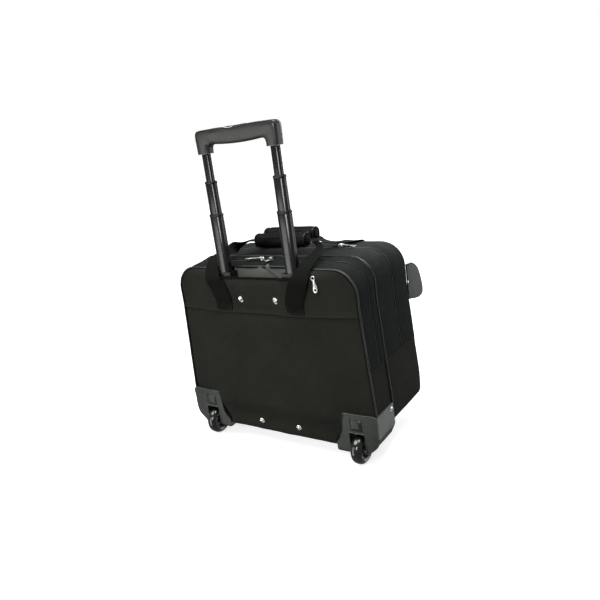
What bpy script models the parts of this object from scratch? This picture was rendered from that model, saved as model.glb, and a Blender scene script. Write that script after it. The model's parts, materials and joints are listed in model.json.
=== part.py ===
"""Rolling laptop case: a soft-sided case on two wheels with a three-stage telescopic handle.

Metres, +Z up, standing on its wheels and front feet. The front of the case faces -Y. Across the case, +X is
the right-hand side as seen from the front. Depths are measured forward from the rear piping, so a depth d
lies at y = REAR_Y - d. Heights are measured from a level RIDE_HEIGHT above the ground.
"""

import math

import bmesh
import bpy
from mathutils import Matrix, Vector

# ---- Case body ----
LOW_HALF_WIDTH = 0.2125  # half the width across the sides, at LOW_Z and below
HIGH_HALF_WIDTH = 0.2010  # the same, at HIGH_Z and above
LOW_Z = 0.0950
HIGH_Z = 0.2800
SEAM_Z = 0.1725  # where the zips end and the lower side panels begin
TOP_REAR = 0.3530  # height of the top edge at the rear piping
TOP_MIDDLE = 0.3600  # height of the top from the middle piping forward
CORNER_RADIUS = 0.0450
FLOOR_Z = 0.0450  # underside of the front compartment
REAR_FLOOR_Z = 0.0680  # underside of the rear compartment, over the wheel wells
BOTTOM_RADIUS = 0.0200
WALL = 0.0030
GAP = 0.0003

# ---- Depths, measured forward from the rear piping ----
LAPTOP_ZIP_DEPTH = 0.0385
PIPING_DEPTH = 0.0640
FRONT_ZIP_DEPTH = 0.1325
FRONT_DEPTH = 0.2000
PIPING_RADIUS = 0.0020
SLOT_DEPTH = 0.0152  # the handle's slot, from the rear piping's plane to the piping in front of it

# ---- Back ----
BACK_SEAM_Z = 0.2720
BAND_TOP_Z = 0.3370
PANEL_THICKNESS = 0.0025
CROWN = 0.0115  # how far the padded back stands out over the handle tubes

# ---- Telescopic handle ----
POLE_X = 0.0765
POLE_DEPTH = 0.0020
OUTER_TUBE = (0.0280, 0.0205)
LOWER_TUBE = (0.0255, 0.0180)
MIDDLE_TUBE = (0.0225, 0.0150)
UPPER_TUBE = (0.0170, 0.0115)
TUBE_WALL = 0.0010
TUBE_LENGTH = 0.2420
OUTER_BOTTOM_Z = 0.0880
OUTER_TOP_Z = 0.3260
LOWER_TOP_Z = 0.4550
MIDDLE_TOP_Z = 0.5140
GRIP_BOTTOM_Z = 0.5620
COLLAR_HEIGHT = 0.0045
GRIP_TOP_Z = 0.6080
GRIP_HALF_WIDTH = 0.0890
GRIP_DEPTH = 0.0210

# ---- Wheels and feet ----
RIDE_HEIGHT = 0.0090  # the level that heights are measured from, above the ground
WHEEL_X = 0.1710
WHEEL_RADIUS = 0.0280
WHEEL_Z = WHEEL_RADIUS - RIDE_HEIGHT
WHEEL_WIDTH = 0.0230
WHEEL_DEPTH = 0.0070
HUB_RADIUS = 0.0165
AXLE_RADIUS = 0.0030
FOOT_X = 0.1000

# ---- Carry handles, flap and pulls ----
STRAP_THICKNESS = 0.0018
REAR_STRAP_DEPTH = -0.0135
ROLL_RADIUS = 0.0150
REAR_ROLL = (0.0880, 0.3860)  # depth and height of the rear roll's axis
FRONT_ROLL = (0.1205, 0.3910)
FLAP_X = -0.1925
FLAP_HINGE_DEPTH = 0.2140
FLAP_REACH = 0.2470  # depth of the open flap's free edge
FLAP_TURN = math.radians(33.0)  # how far the open flap turns outwards
FLAP_LENGTH = (FLAP_REACH - FLAP_HINGE_DEPTH - 0.001 * math.sin(FLAP_TURN)) / math.cos(FLAP_TURN)

REAR_REACH = WHEEL_DEPTH - WHEEL_RADIUS
REAR_Y = (REAR_REACH + FLAP_REACH) / 2  # centres the case, front to back, on the origin


# ---- Materials ----
def principled(name, colour, roughness, metallic=0.0):
    material = bpy.data.materials.new(name)
    material.use_nodes = True
    shader = material.node_tree.nodes["Principled BSDF"]
    shader.inputs["Base Color"].default_value = (*colour, 1.0)
    shader.inputs["Roughness"].default_value = roughness
    shader.inputs["Metallic"].default_value = metallic
    return material


def make_materials():
    return {
        "fabric": principled("black_fabric", (0.020, 0.021, 0.019), 0.85),
        "lining": principled("grey_lining", (0.16, 0.165, 0.16), 0.9),
        "piping": principled("grey_piping", (0.10, 0.10, 0.10), 0.6),
        "plastic": principled("dark_plastic", (0.045, 0.046, 0.046), 0.5),
        "gloss": principled("gloss_black_tube", (0.010, 0.010, 0.010), 0.15),
        "rubber": principled("wheel_rubber", (0.012, 0.012, 0.012), 0.35),
        "steel": principled("nickel_steel", (0.75, 0.75, 0.73), 0.25, 1.0),
        "webbing": principled("black_webbing", (0.022, 0.022, 0.022), 0.8),
    }


# ---- Building blocks ----
def at(x, depth, z):
    return Vector((x, REAR_Y - depth, RIDE_HEIGHT + z))


def add_object(name, bm, material, pivot=None, sharp_degrees=35):
    """Links the mesh as an object. A moving piece's origin is its pivot, a point on its joint's axis."""
    bmesh.ops.recalc_face_normals(bm, faces=bm.faces)
    mesh = bpy.data.meshes.new(name)
    if pivot is not None:
        bm.transform(Matrix.Translation(-pivot))
    bm.to_mesh(mesh)
    bm.free()
    mesh.shade_smooth()
    mesh.set_sharp_from_angle(angle=math.radians(sharp_degrees))
    mesh.materials.append(material)
    obj = bpy.data.objects.new(name, mesh)
    if pivot is not None:
        obj.location = pivot
    bpy.context.scene.collection.objects.link(obj)
    return obj


def add_loft(bm, loops, ring=False):
    """Joins closed loops of points into a skin, capped at both ends, or joined end to end for a ring."""
    rows = [[bm.verts.new(point) for point in loop] for loop in loops]
    pairs = list(zip(rows, rows[1:]))
    if ring:
        pairs.append((rows[-1], rows[0]))
    for row, following in pairs:
        for i in range(len(row)):
            j = (i + 1) % len(row)
            bm.faces.new((row[i], row[j], following[j], following[i]))
    if not ring:
        bm.faces.new(rows[0][::-1])
        bm.faces.new(rows[-1])


def loft(name, loops, material, pivot=None):
    bm = bmesh.new()
    add_loft(bm, loops)
    return add_object(name, bm, material, pivot)


def box_loops(low, high):
    """Two loops, at the two depths of a box from low to high, each (x, depth, z)."""
    corners = ((low[0], low[2]), (high[0], low[2]), (high[0], high[2]), (low[0], high[2]))
    return [[at(x, depth, z) for x, z in corners] for depth in (low[1], high[1])]


def box(name, low, high, material, bevel=0.0, pivot=None):
    bm = bmesh.new()
    add_loft(bm, box_loops(low, high))
    if bevel:
        bmesh.ops.bevel(bm, geom=bm.edges[:], offset=bevel, segments=2, affect="EDGES", profile=0.5)
    return add_object(name, bm, material, pivot)


def cylinder_loops(start, end, radius, sides=24):
    axis = (end - start).normalized()
    across = axis.orthogonal().normalized()
    up = axis.cross(across)
    angles = [2 * math.pi * i / sides for i in range(sides)]
    ring = [radius * (math.cos(a) * across + math.sin(a) * up) for a in angles]
    return [[start + offset for offset in ring], [end + offset for offset in ring]]


def cutter(name, loops):
    """A closed shape that only cuts or joins others, and isn't part of the case."""
    bm = bmesh.new()
    add_loft(bm, loops)
    bmesh.ops.recalc_face_normals(bm, faces=bm.faces)
    mesh = bpy.data.meshes.new(name)
    bm.to_mesh(mesh)
    bm.free()
    obj = bpy.data.objects.new(name, mesh)
    obj.hide_render = True
    obj.display_type = "WIRE"
    bpy.context.scene.collection.objects.link(obj)
    return obj


def combine(obj, other, operation):
    modifier = obj.modifiers.new(other.name, "BOOLEAN")
    modifier.operation = operation
    modifier.object = other


def turned(name, profile, centre, material, pivot=None, sides=32):
    """Turns a closed profile of (radius, offset) points about the X axis line through centre."""
    loops = []
    for i in range(sides):
        angle = 2 * math.pi * i / sides
        out = Vector((0, math.cos(angle), math.sin(angle)))
        loops.append([centre + radius * out + Vector((offset, 0, 0)) for radius, offset in profile])
    bm = bmesh.new()
    add_loft(bm, loops, ring=True)
    return add_object(name, bm, material, pivot)


def arc(centre_x, centre_z, radius, start_degrees, end_degrees, steps):
    points = []
    for i in range(steps + 1):
        angle = math.radians(start_degrees + (end_degrees - start_degrees) * i / steps)
        points.append((centre_x + radius * math.cos(angle), centre_z + radius * math.sin(angle)))
    return points


def ease(value, start, end):
    """0 before start and 1 after end, with a smooth rise between."""
    share = min(max((value - start) / (end - start), 0), 1)
    return share * share * (3 - 2 * share)


def ribbon(name, stations, thickness, material, pivot=None):
    """A flat strap. Each station is (centre, half-width vector)."""
    loops = []
    for i, (centre, half) in enumerate(stations):
        before = stations[max(i - 1, 0)][0]
        after = stations[min(i + 1, len(stations) - 1)][0]
        normal = (after - before).cross(half).normalized() * thickness / 2
        loops.append([centre + half + normal, centre - half + normal,
                      centre - half - normal, centre + half - normal])
    return loft(name, loops, material, pivot)


# ---- The case's outline, seen from behind ----
def side_x(z):
    share = min(max((z - LOW_Z) / (HIGH_Z - LOW_Z), 0), 1)
    return LOW_HALF_WIDTH + (HIGH_HALF_WIDTH - LOW_HALF_WIDTH) * share


def upper_outline(top, inset=0.0, bottom=SEAM_Z):
    """From the left side at bottom, up, over the top and down the right side, as (x, z)."""
    radius = CORNER_RADIUS - inset
    centre_x = HIGH_HALF_WIDTH - CORNER_RADIUS
    centre_z = top - CORNER_RADIUS
    right = [(side_x(z) - inset, z) for z in (bottom, 0.205, 0.240, HIGH_Z) if z >= bottom]
    right += arc(centre_x, centre_z, radius, 0, 90, 7)
    left = [(-x, z) for x, z in right]
    return left + [(0.0, top - inset)] + right[::-1]


def lower_outline(bottom, inset=0.0, top=SEAM_Z - GAP, reduce=0.0):
    """From the right side at top, down, along the bottom and up the left side, as (x, z)."""
    radius = BOTTOM_RADIUS - inset
    corner = side_x(bottom) - reduce - BOTTOM_RADIUS
    right = [(side_x(z) - inset - reduce, z) for z in (top, 0.135, 0.105)]
    right += arc(corner, bottom + BOTTOM_RADIUS, radius, 0, -90, 5)
    return right + [(-x, z) for x, z in right[::-1]]


def wall_strip(name, outer_rear, outer_front, inner_rear, inner_front, depths, material):
    """A wall that follows an outline between two depths."""
    loops = []
    for points in zip(outer_rear, outer_front, inner_front, inner_rear):
        spots = (depths[0], depths[1], depths[1], depths[0])
        loops.append([at(x, depth, z) for (x, z), depth in zip(points, spots)])
    return loft(name, loops, material)


def upper_gusset(name, depths, tops, material):
    outer = [upper_outline(top) for top in tops]
    inner = [upper_outline(top, WALL) for top in tops]
    return wall_strip(name, *outer, *inner, depths, material)


def lower_gusset(name, depths, bottom, material, reduce=0.0):
    outer = lower_outline(bottom, reduce=reduce)
    inner = lower_outline(bottom, WALL, reduce=reduce)
    return wall_strip(name, outer, outer, inner, inner, depths, material)


# ---- Back panel ----
def back_depth(x, z):
    """Depth of the padded back's outer face. It stands out over the handle tubes and ends at the piping."""
    across = 1 - ease(abs(x), 0.096, 0.195)
    up = (0.12 + 0.88 * ease(z, 0.046, 0.086)) * (1 - ease(z, 0.340, 0.356))
    dip = 0.0030 * (1 - ease(abs(x), 0.044, 0.060)) * ease(z, 0.255, 0.285)
    return dip - CROWN * across * up


def back_slab(name, rows, material):
    """A padded sheet on the back. Each row is (height, half-width). Its middle columns line up with the tubes."""
    loops = []
    for z, half in rows:
        flank = POLE_X + 0.0195
        right = [0.044, 0.060, POLE_X, flank] + [flank + (half - flank) * s for s in (0.3, 0.55, 0.8, 1)]
        columns = [-x for x in right[::-1]] + [0.0] + right
        outer = [at(x, back_depth(x, z), z) for x in columns]
        inner = [at(x, back_depth(x, z) + PANEL_THICKNESS, z) for x in columns]
        loops.append(outer + inner[::-1])
    return loft(name, loops, material)


def make_back(m):
    edge = 0.0027  # leaves room for the piping
    narrow = [(0.0185, 0.1240), (0.0300, 0.1245), (0.0480, 0.1370), (0.0640, 0.1400), (0.0800, 0.1425),
              (0.0925, 0.1430)]
    wide = [(z, side_x(z) - edge) for z in (0.0950, 0.1200, 0.1600, 0.2000, 0.2400, 0.2600, BACK_SEAM_Z)]
    panel = back_slab("back_panel", narrow + wide, m["fabric"])
    low = BACK_SEAM_Z + GAP
    radius = CORNER_RADIUS - edge
    centre_z = TOP_REAR - CORNER_RADIUS
    rows = [(low, side_x(low) - edge), (0.2900, side_x(0.29) - edge), (centre_z, HIGH_HALF_WIDTH - edge)]
    for degrees in (20, 40, 55, 70, 82):
        angle = math.radians(degrees)
        half = HIGH_HALF_WIDTH - CORNER_RADIUS + radius * math.cos(angle)
        rows.append((centre_z + radius * math.sin(angle), half))
    band = back_slab("back_band", rows, m["fabric"])
    notch = cutter("cut_pole_slot", box_loops((-0.0955, -0.05, BAND_TOP_Z), (0.0955, 0.05, 0.40)))
    combine(band, notch, "DIFFERENCE")
    for label, obj, x, z in (("top", band, 0.0395, 0.2970), ("bottom", panel, 0.0440, 0.0415)):
        for side, sign in (("left", -1), ("right", 1)):
            surface = back_depth(x, z)
            ends = (at(sign * x, surface - 0.01, z), at(sign * x, surface + 0.01, z))
            combine(obj, cutter(f"cut_{label}_{side}", cylinder_loops(*ends, 0.0026, 12)), "DIFFERENCE")
            make_screw(f"{label}_screw_{side}", sign * x, surface, z, m["steel"])
    box("pocket_lining", (-0.0950, 0.0136, 0.2500), (0.0950, 0.0146, 0.3490), m["lining"])
    box("frame_sheet", (-0.1900, 0.0158, 0.0740), (0.1900, 0.0178, 0.3000), m["plastic"], 0.0005)
    box("tube_base", (-0.1200, 0.0025, 0.0205), (0.1200, 0.0600, 0.0670), m["plastic"], 0.0020)


def make_screw(name, x, surface, z, material):
    """A dome-headed screw whose head stands on the back at depth surface."""
    shape = ((0.0012, -0.0029), (0.0034, -0.0024), (0.0045, -0.0010), (0.0045, -GAP),
             (0.0022, -GAP), (0.0022, 0.0034))
    loops = []
    for radius, depth in shape:
        spots = cylinder_loops(at(x, surface + depth, z), at(x, surface + depth + 1, z), radius, 16)
        loops.append(spots[0])
    loft(name, loops, material)


# ---- Walls, zips and piping ----
def make_walls(m):
    half_zip = 0.0027
    join = PIPING_RADIUS + GAP
    rear_start = PIPING_RADIUS + 2 * GAP
    rear_end = PIPING_DEPTH - join
    front_start = PIPING_DEPTH + join
    top_at_zip = TOP_REAR + (TOP_MIDDLE - TOP_REAR) * LAPTOP_ZIP_DEPTH / PIPING_DEPTH
    rear = upper_gusset("rear_gusset", (rear_start, LAPTOP_ZIP_DEPTH - half_zip), (TOP_REAR, top_at_zip),
                        m["fabric"])
    edge = [(math.copysign(abs(x) + 0.0010, x), depth + PIPING_RADIUS + 2 * GAP) for x, depth in slot_edge()]
    edge = [(edge[0][0], -0.02)] + edge + [(edge[-1][0], -0.02)]
    slot = cutter("cut_handle_slot", [[at(x, depth, z) for x, depth in edge] for z in (0.30, 0.40)])
    combine(rear, slot, "DIFFERENCE")
    upper_gusset("laptop_gusset", (LAPTOP_ZIP_DEPTH + half_zip, rear_end), (top_at_zip, TOP_MIDDLE),
                 m["fabric"])
    lower_gusset("rear_lower_gusset", (rear_start, rear_end), REAR_FLOOR_Z, m["fabric"], reduce=0.0018)
    upper_gusset("main_gusset", (front_start, FRONT_ZIP_DEPTH - half_zip), (TOP_MIDDLE, TOP_MIDDLE),
                 m["fabric"])
    for name, depth, top in (("laptop_zip", LAPTOP_ZIP_DEPTH, top_at_zip), ("front_zip", FRONT_ZIP_DEPTH, TOP_MIDDLE)):
        outer = upper_outline(top, -0.0006)
        inner = upper_outline(top, 0.0020)
        reach = half_zip - GAP
        wall_strip(name, outer, outer, inner, inner, (depth - reach, depth + reach), m["webbing"])
    divider = upper_outline(TOP_MIDDLE, WALL + 0.0006) + lower_outline(REAR_FLOOR_Z, WALL + 0.0006,
                                                                      reduce=0.0018)
    loft("divider", [[at(x, d, z) for x, z in divider] for d in (PIPING_DEPTH - 0.001, PIPING_DEPTH + 0.001)],
         m["lining"])
    make_piping("rear_piping", 0.0, TOP_REAR, m["piping"], around_slot=True)
    make_piping("middle_piping", PIPING_DEPTH, TOP_MIDDLE, m["piping"])


def slot_edge():
    """The rear piping's (x, depth) where it runs forward, round the front of the handle tubes."""
    half = [(x, SLOT_DEPTH * (1 - ease(x, 0.096, 0.125))) for x in (0.0960, 0.1030, 0.1120, 0.1300)]
    return [(-x, depth) for x, depth in half[::-1]] + half


def make_piping(name, depth, top, material, around_slot=False):
    """A corded edge that follows the outline and, for the rear one, goes round the handle's slot."""
    path = [(-side_x(0.0945), 0.0945), (-side_x(0.13), 0.13)] + upper_outline(top)
    path += [(side_x(0.13), 0.13), (side_x(0.0945), 0.0945)]
    points = [at(x, depth, z) for x, z in path]
    if around_slot:
        middle = path.index((0.0, top))
        points[middle:middle + 1] = [at(x, slot_depth, top) for x, slot_depth in slot_edge()]
    loops = []
    for i, point in enumerate(points):
        along = (points[min(i + 1, len(points) - 1)] - points[max(i - 1, 0)]).normalized()
        sideways = Vector((0, 1, 0))
        across = (sideways - along * along.dot(sideways)).normalized()
        up = along.cross(across)
        angles = [2 * math.pi * k / 8 for k in range(8)]
        loops.append([point + PIPING_RADIUS * (math.cos(a) * across + math.sin(a) * up) for a in angles])
    loft(name, loops, material)


# ---- Front compartment ----
def shell_loops(outline, steps):
    return [[at(x, depth, z) for x, z in outline(inset)] for depth, inset in steps]


def make_front(m, lid_pivot):
    start = FRONT_ZIP_DEPTH + 0.0027
    rounded = ((0.1860, 0), (0.1940, 0.0022), (0.1985, 0.0065), (FRONT_DEPTH, 0.0120))
    hollow = ((0.1860, WALL), (0.1930, 0.0060), (FRONT_DEPTH - WALL, 0.0150))

    def lid_outline(inset):
        return upper_outline(TOP_MIDDLE - 0.0015, inset)

    def lid_hollow(inset):
        return upper_outline(TOP_MIDDLE - 0.0015, inset, bottom=0.15)

    lid = loft("front_lid", shell_loops(lid_outline, ((start, 0), *rounded)), m["fabric"], lid_pivot)
    combine(lid, cutter("cut_lid", shell_loops(lid_hollow, ((0.10, WALL), *hollow))), "DIFFERENCE")

    def tub_outline(inset):
        return lower_outline(FLOOR_Z, inset)

    def tub_hollow(inset):
        return lower_outline(FLOOR_Z, inset, top=0.20)

    tub = loft("front_tub", shell_loops(tub_outline, ((PIPING_DEPTH + PIPING_RADIUS + GAP, 0), *rounded)),
               m["fabric"])
    combine(tub, cutter("cut_tub", shell_loops(tub_hollow, ((0.05, WALL), *hollow))), "DIFFERENCE")
    box("base_board", (-0.1880, 0.0680, 0.0484), (0.1880, 0.1840, 0.0508), m["plastic"], 0.0005)
    box("front_pocket", (-0.1150, FRONT_DEPTH + GAP, 0.1850), (0.1500, 0.2060, 0.2900), m["fabric"], 0.0015,
        lid_pivot)
    pocket = box("phone_pocket", (-0.1900, FRONT_DEPTH + GAP, 0.2050), (-0.1260, 0.2123, 0.3020), m["fabric"],
                 0.0010, lid_pivot)
    inside = box_loops((-0.2000, 0.2022, 0.2075), (-0.1290, 0.2103, 0.2995))
    combine(pocket, cutter("cut_phone_pocket", inside), "DIFFERENCE")


def make_flap(m):
    """The phone pocket's open flap, which stands out from its hinge."""
    pivot = at(FLAP_X, FLAP_HINGE_DEPTH, 0.2820)
    low, high = 0.2440, 0.3180
    outline = [(GAP, low), (FLAP_LENGTH - 0.0080, low), (FLAP_LENGTH - 0.0022, low + 0.0022),
               (FLAP_LENGTH, low + 0.0080), (FLAP_LENGTH - 0.0140, high - 0.0080),
               (FLAP_LENGTH - 0.0170, high - 0.0020), (FLAP_LENGTH - 0.0220, high), (GAP, high)]
    sine, cosine = math.sin(FLAP_TURN), math.cos(FLAP_TURN)
    loops = []
    for side in (-0.001, 0.001):
        loops.append([at(FLAP_X - reach * sine + side * cosine, FLAP_HINGE_DEPTH + reach * cosine + side * sine, z)
                      for reach, z in outline])
    loft("phone_flap", loops, m["lining"], pivot)


# ---- Telescopic handle ----
def tube_section(size, z, x):
    """A rounded oval loop, size wide and deep, on the pole's axis."""
    loop = []
    for i in range(20):
        angle = 2 * math.pi * (i + 0.5) / 20
        cosine, sine = math.cos(angle), math.sin(angle)
        spread = (abs(cosine) ** 3 + abs(sine) ** 3) ** (-1 / 3)
        loop.append(at(x + size[0] / 2 * spread * cosine, POLE_DEPTH + size[1] / 2 * spread * sine, z))
    return loop


def shrunk(size, amount):
    return (size[0] - 2 * amount, size[1] - 2 * amount)


def tube(name, outer, inner, bottom, top, x, material, pivot=None):
    loops = [tube_section(outer, bottom, x), tube_section(outer, top, x),
             tube_section(inner, top, x), tube_section(inner, bottom, x)]
    bm = bmesh.new()
    add_loft(bm, loops, ring=True)
    return add_object(name, bm, material, pivot)


def make_bridge(m):
    """The moulded bridge between the tubes. A bezel at each end guides the lower tube."""
    bridge = box("pole_bridge", (-0.0600, -0.0035, 0.2840), (0.0600, 0.0120, 0.3330), m["plastic"])
    for side, sign in (("left", -1), ("right", 1)):
        x = sign * POLE_X
        low, high = (x - 0.0180, -0.0086, OUTER_TOP_Z + GAP), (x + 0.0180, 0.0132, 0.3460)
        combine(bridge, cutter(f"join_bezel_{side}", box_loops(low, high)), "UNION")
        bore = [tube_section(shrunk(LOWER_TUBE, -GAP), z, x) for z in (0.30, 0.36)]
        combine(bridge, cutter(f"cut_bezel_{side}", bore), "DIFFERENCE")


def make_handle(m):
    make_bridge(m)
    lower_pivot, middle_pivot, upper_pivot = (at(0, POLE_DEPTH, z) for z in (LOWER_TOP_Z, MIDDLE_TOP_Z,
                                                                             GRIP_BOTTOM_Z))
    stages = (("lower", LOWER_TUBE, MIDDLE_TUBE, LOWER_TOP_Z, lower_pivot),
              ("middle", MIDDLE_TUBE, UPPER_TUBE, MIDDLE_TOP_Z, middle_pivot))
    for side, sign in (("left", -1), ("right", 1)):
        x = sign * POLE_X
        tube(f"outer_tube_{side}", OUTER_TUBE, shrunk(OUTER_TUBE, TUBE_WALL), OUTER_BOTTOM_Z, OUTER_TOP_Z, x,
             m["steel"])
        for label, size, following, top, pivot in stages:
            under = top - COLLAR_HEIGHT
            tube(f"{label}_tube_{side}", size, shrunk(size, TUBE_WALL), under - GAP - TUBE_LENGTH,
                 under - GAP, x, m["gloss"], pivot)
            tube(f"{label}_collar_{side}", shrunk(size, -0.0004), shrunk(following, -GAP), under, top, x,
                 m["plastic"], pivot)
        tube(f"upper_tube_{side}", UPPER_TUBE, shrunk(UPPER_TUBE, TUBE_WALL), GRIP_BOTTOM_Z - TUBE_LENGTH,
             GRIP_BOTTOM_Z - GAP, x, m["gloss"], upper_pivot)
    make_grip(m, upper_pivot)


def make_grip(m, pivot):
    """A U-shaped grip with a slightly arched bar, and its release button."""
    inner = GRIP_HALF_WIDTH - 0.0270
    half = [(GRIP_HALF_WIDTH - 0.0015, GRIP_BOTTOM_Z), (GRIP_HALF_WIDTH, GRIP_TOP_Z - 0.0170)]
    half += arc(GRIP_HALF_WIDTH - 0.0100, GRIP_TOP_Z - 0.0130, 0.0100, 0, 80, 4)
    half += [(0.0500, GRIP_TOP_Z - 0.0005), (0.0270, GRIP_TOP_Z)]
    under = [(inner, GRIP_BOTTOM_Z), (inner - 0.0010, GRIP_BOTTOM_Z + 0.0070),
             (inner - 0.0060, GRIP_BOTTOM_Z + 0.0135), (inner - 0.0180, GRIP_BOTTOM_Z + 0.0155),
             (0.0200, GRIP_BOTTOM_Z + 0.0145)]
    right = half[::-1] + under
    outline = right[::-1] + [(-x, z) for x, z in right]
    front, rear = POLE_DEPTH + GRIP_DEPTH / 2, POLE_DEPTH - GRIP_DEPTH / 2
    steps = ((rear, 0.0035), (rear + 0.0035, 0), (front - 0.0035, 0), (front, 0.0035))
    loops = [[at(x, depth, z) for x, z in inset_outline(outline, inset)] for depth, inset in steps]
    grip = loft("grip", loops, m["plastic"], pivot)
    slot = box_loops((-0.0245, POLE_DEPTH - 0.0060, GRIP_TOP_Z - 0.0110), (0.0245, POLE_DEPTH + 0.0060, 0.70))
    combine(grip, cutter("cut_button", slot), "DIFFERENCE")
    box("release_button", (-0.0240, POLE_DEPTH - 0.0055, GRIP_TOP_Z - 0.0055),
        (0.0240, POLE_DEPTH + 0.0055, GRIP_TOP_Z + 0.0015), m["plastic"], 0.0010,
        at(0, POLE_DEPTH, GRIP_TOP_Z))


def inset_outline(points, inset):
    """Moves each point of a closed outline inwards by inset, across the line between its neighbours."""
    moved = []
    total = sum(x0 * z1 - x1 * z0 for (x0, z0), (x1, z1) in zip(points, points[1:] + points[:1]))
    turn = 1 if total > 0 else -1
    for i, (x, z) in enumerate(points):
        before, after = points[i - 1], points[(i + 1) % len(points)]
        along = Vector((after[0] - before[0], after[1] - before[1])).normalized()
        moved.append((x - turn * along.y * inset, z + turn * along.x * inset))
    return moved


# ---- Wheels, housings and feet ----
def make_wheel(side, sign, m):
    centre = at(sign * WHEEL_X, WHEEL_DEPTH, WHEEL_Z)
    half = WHEEL_WIDTH / 2
    bore = HUB_RADIUS + GAP
    tread = [(bore, -half + 0.001), (0.0215, -half), (0.0255, -half + 0.0015), (0.0275, -half + 0.0055),
             (WHEEL_RADIUS, -0.0025)]
    turned(f"wheel_tyre_{side}", tread + [(radius, -offset) for radius, offset in tread[::-1]], centre,
           m["rubber"], centre)
    hub = [(AXLE_RADIUS + GAP, -half + 0.0010), (0.0065, -half + 0.0010), (0.0080, -half + 0.0035),
           (HUB_RADIUS - 0.002, -half + 0.0035), (HUB_RADIUS, -half + 0.0015)]
    turned(f"wheel_hub_{side}", hub + [(radius, -offset) for radius, offset in hub[::-1]], centre,
           m["plastic"], centre)
    start = at(sign * 0.1505, WHEEL_DEPTH, WHEEL_Z)
    end = at(sign * 0.1890, WHEEL_DEPTH, WHEEL_Z)
    loft(f"axle_{side}", cylinder_loops(start, end, AXLE_RADIUS, 20), m["steel"])


def make_housing(side, sign, m):
    """A moulded corner guard over the wheel: a back wall, a side wall, and a solid foot with the wheel's well."""
    outline = [(0.1455, 0.0890), (0.1465, 0.0910), (0.2125, 0.0910), (0.2135, 0.0900), (0.2145, 0.0480)]
    outline += [(0.2120, 0.0370), (0.2050, 0.0285), (0.1960, 0.0205), (0.1910, 0.0140), (0.1880, 0.0125),
                (0.1300, 0.0125), (0.1275, 0.0140), (0.1275, 0.0290), (0.1390, 0.0430), (0.1430, 0.0630)]
    loops = [[at(sign * x, depth, z) for x, z in outline] for depth in (-0.0040, 0.0632)]
    housing = loft(f"wheel_housing_{side}", loops, m["plastic"])
    profile = [(-0.0040, 0.0165), (-0.0022, 0.0120), (0.0260, 0.0120), (0.0640, 0.0500), (0.0640, 0.0920),
               (-0.0040, 0.0920)]
    side_view = [[at(sign * x, depth, z) for depth, z in profile] for x in (0.1200, 0.2200)]
    combine(housing, cutter(f"trim_housing_{side}", side_view), "INTERSECT")
    cuts = {"seat": ((0.1000, 0.0005, 0.0602), (0.2110, 0.0700, 0.1000)),
            "well": ((0.1550, 0.0010, 0.0000), (0.1870, 0.0520, 0.0595)),
            "notch": ((0.1550, -0.0100, 0.0000), (0.1870, 0.0050, 0.0540)),
            "recess": ((0.1590, -0.0100, 0.0590), (0.1830, -0.0028, 0.0820))}
    for label, (low, high) in cuts.items():
        loops = [[Vector((sign * p.x, p.y, p.z)) for p in loop] for loop in box_loops(low, high)]
        combine(housing, cutter(f"cut_{label}_{side}", loops), "DIFFERENCE")
    bore = cylinder_loops(at(sign * 0.1495, WHEEL_DEPTH, WHEEL_Z),
                          at(sign * 0.1900, WHEEL_DEPTH, WHEEL_Z), AXLE_RADIUS + GAP, 20)
    combine(housing, cutter(f"cut_axle_{side}", bore), "DIFFERENCE")


def make_foot(side, sign, m):
    """A tapered skid under the front of the case."""
    steps = ((-RIDE_HEIGHT, 0.0130, 0.0150), (0.0030 - RIDE_HEIGHT, 0.0150, 0.0170),
             (FLOOR_Z - 0.0060, 0.0175, 0.0200), (FLOOR_Z - GAP, 0.0190, 0.0215))
    loops = []
    for z, half_x, half_depth in steps:
        corners = ((-1, -1), (1, -1), (1, 1), (-1, 1))
        loops.append([at(sign * FOOT_X + i * half_x, 0.1640 + j * half_depth, z) for i, j in corners])
    loft(f"foot_{side}", loops, m["plastic"])


# ---- Carry handles ----
def make_carry_handle(name, legs, roll, pivot, m):
    """Webbing from one leg, through the padded roll, to the other leg. Leg points run from the base up."""
    depth, height = roll
    right = []
    for x, leg_depth, z, half_width, turn in legs:
        half = Vector((math.cos(turn), -math.sin(turn), 0)) * half_width
        right.append((at(x, leg_depth, z), half))
    left = []
    for centre, half in right[::-1]:
        left.append((Vector((-centre.x, centre.y, centre.z)), Vector((half.x, -half.y, half.z))))
    ribbon(f"{name}_strap", right + left, STRAP_THICKNESS, m["webbing"], pivot)
    make_roll(f"{name}_wrap", depth, height, pivot, m["webbing"])


def make_roll(name, depth, height, pivot, material):
    """A padded roll with a flat bore for the webbing. It narrows to rounded ends."""
    half_length = 0.0640
    ends = ((half_length, 0.80), (half_length - 0.0020, 0.93), (half_length - 0.0060, 1.0), (0.0, 1.0))
    stations = list(ends) + [(-x, share) for x, share in ends[-2::-1]]
    angles = [2 * math.pi * (i + 0.5) / 16 for i in range(16)]
    outer = [[at(x, depth + ROLL_RADIUS * share * math.cos(a), height + ROLL_RADIUS * share * math.sin(a))
              for a in angles] for x, share in stations]
    bore = [[at(x, depth + 0.0120 * math.cos(a), height + 0.0028 * math.sin(a)) for a in angles]
            for x, share in stations]
    bm = bmesh.new()
    add_loft(bm, outer + bore[::-1], ring=True)
    add_object(name, bm, material, pivot)


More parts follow.
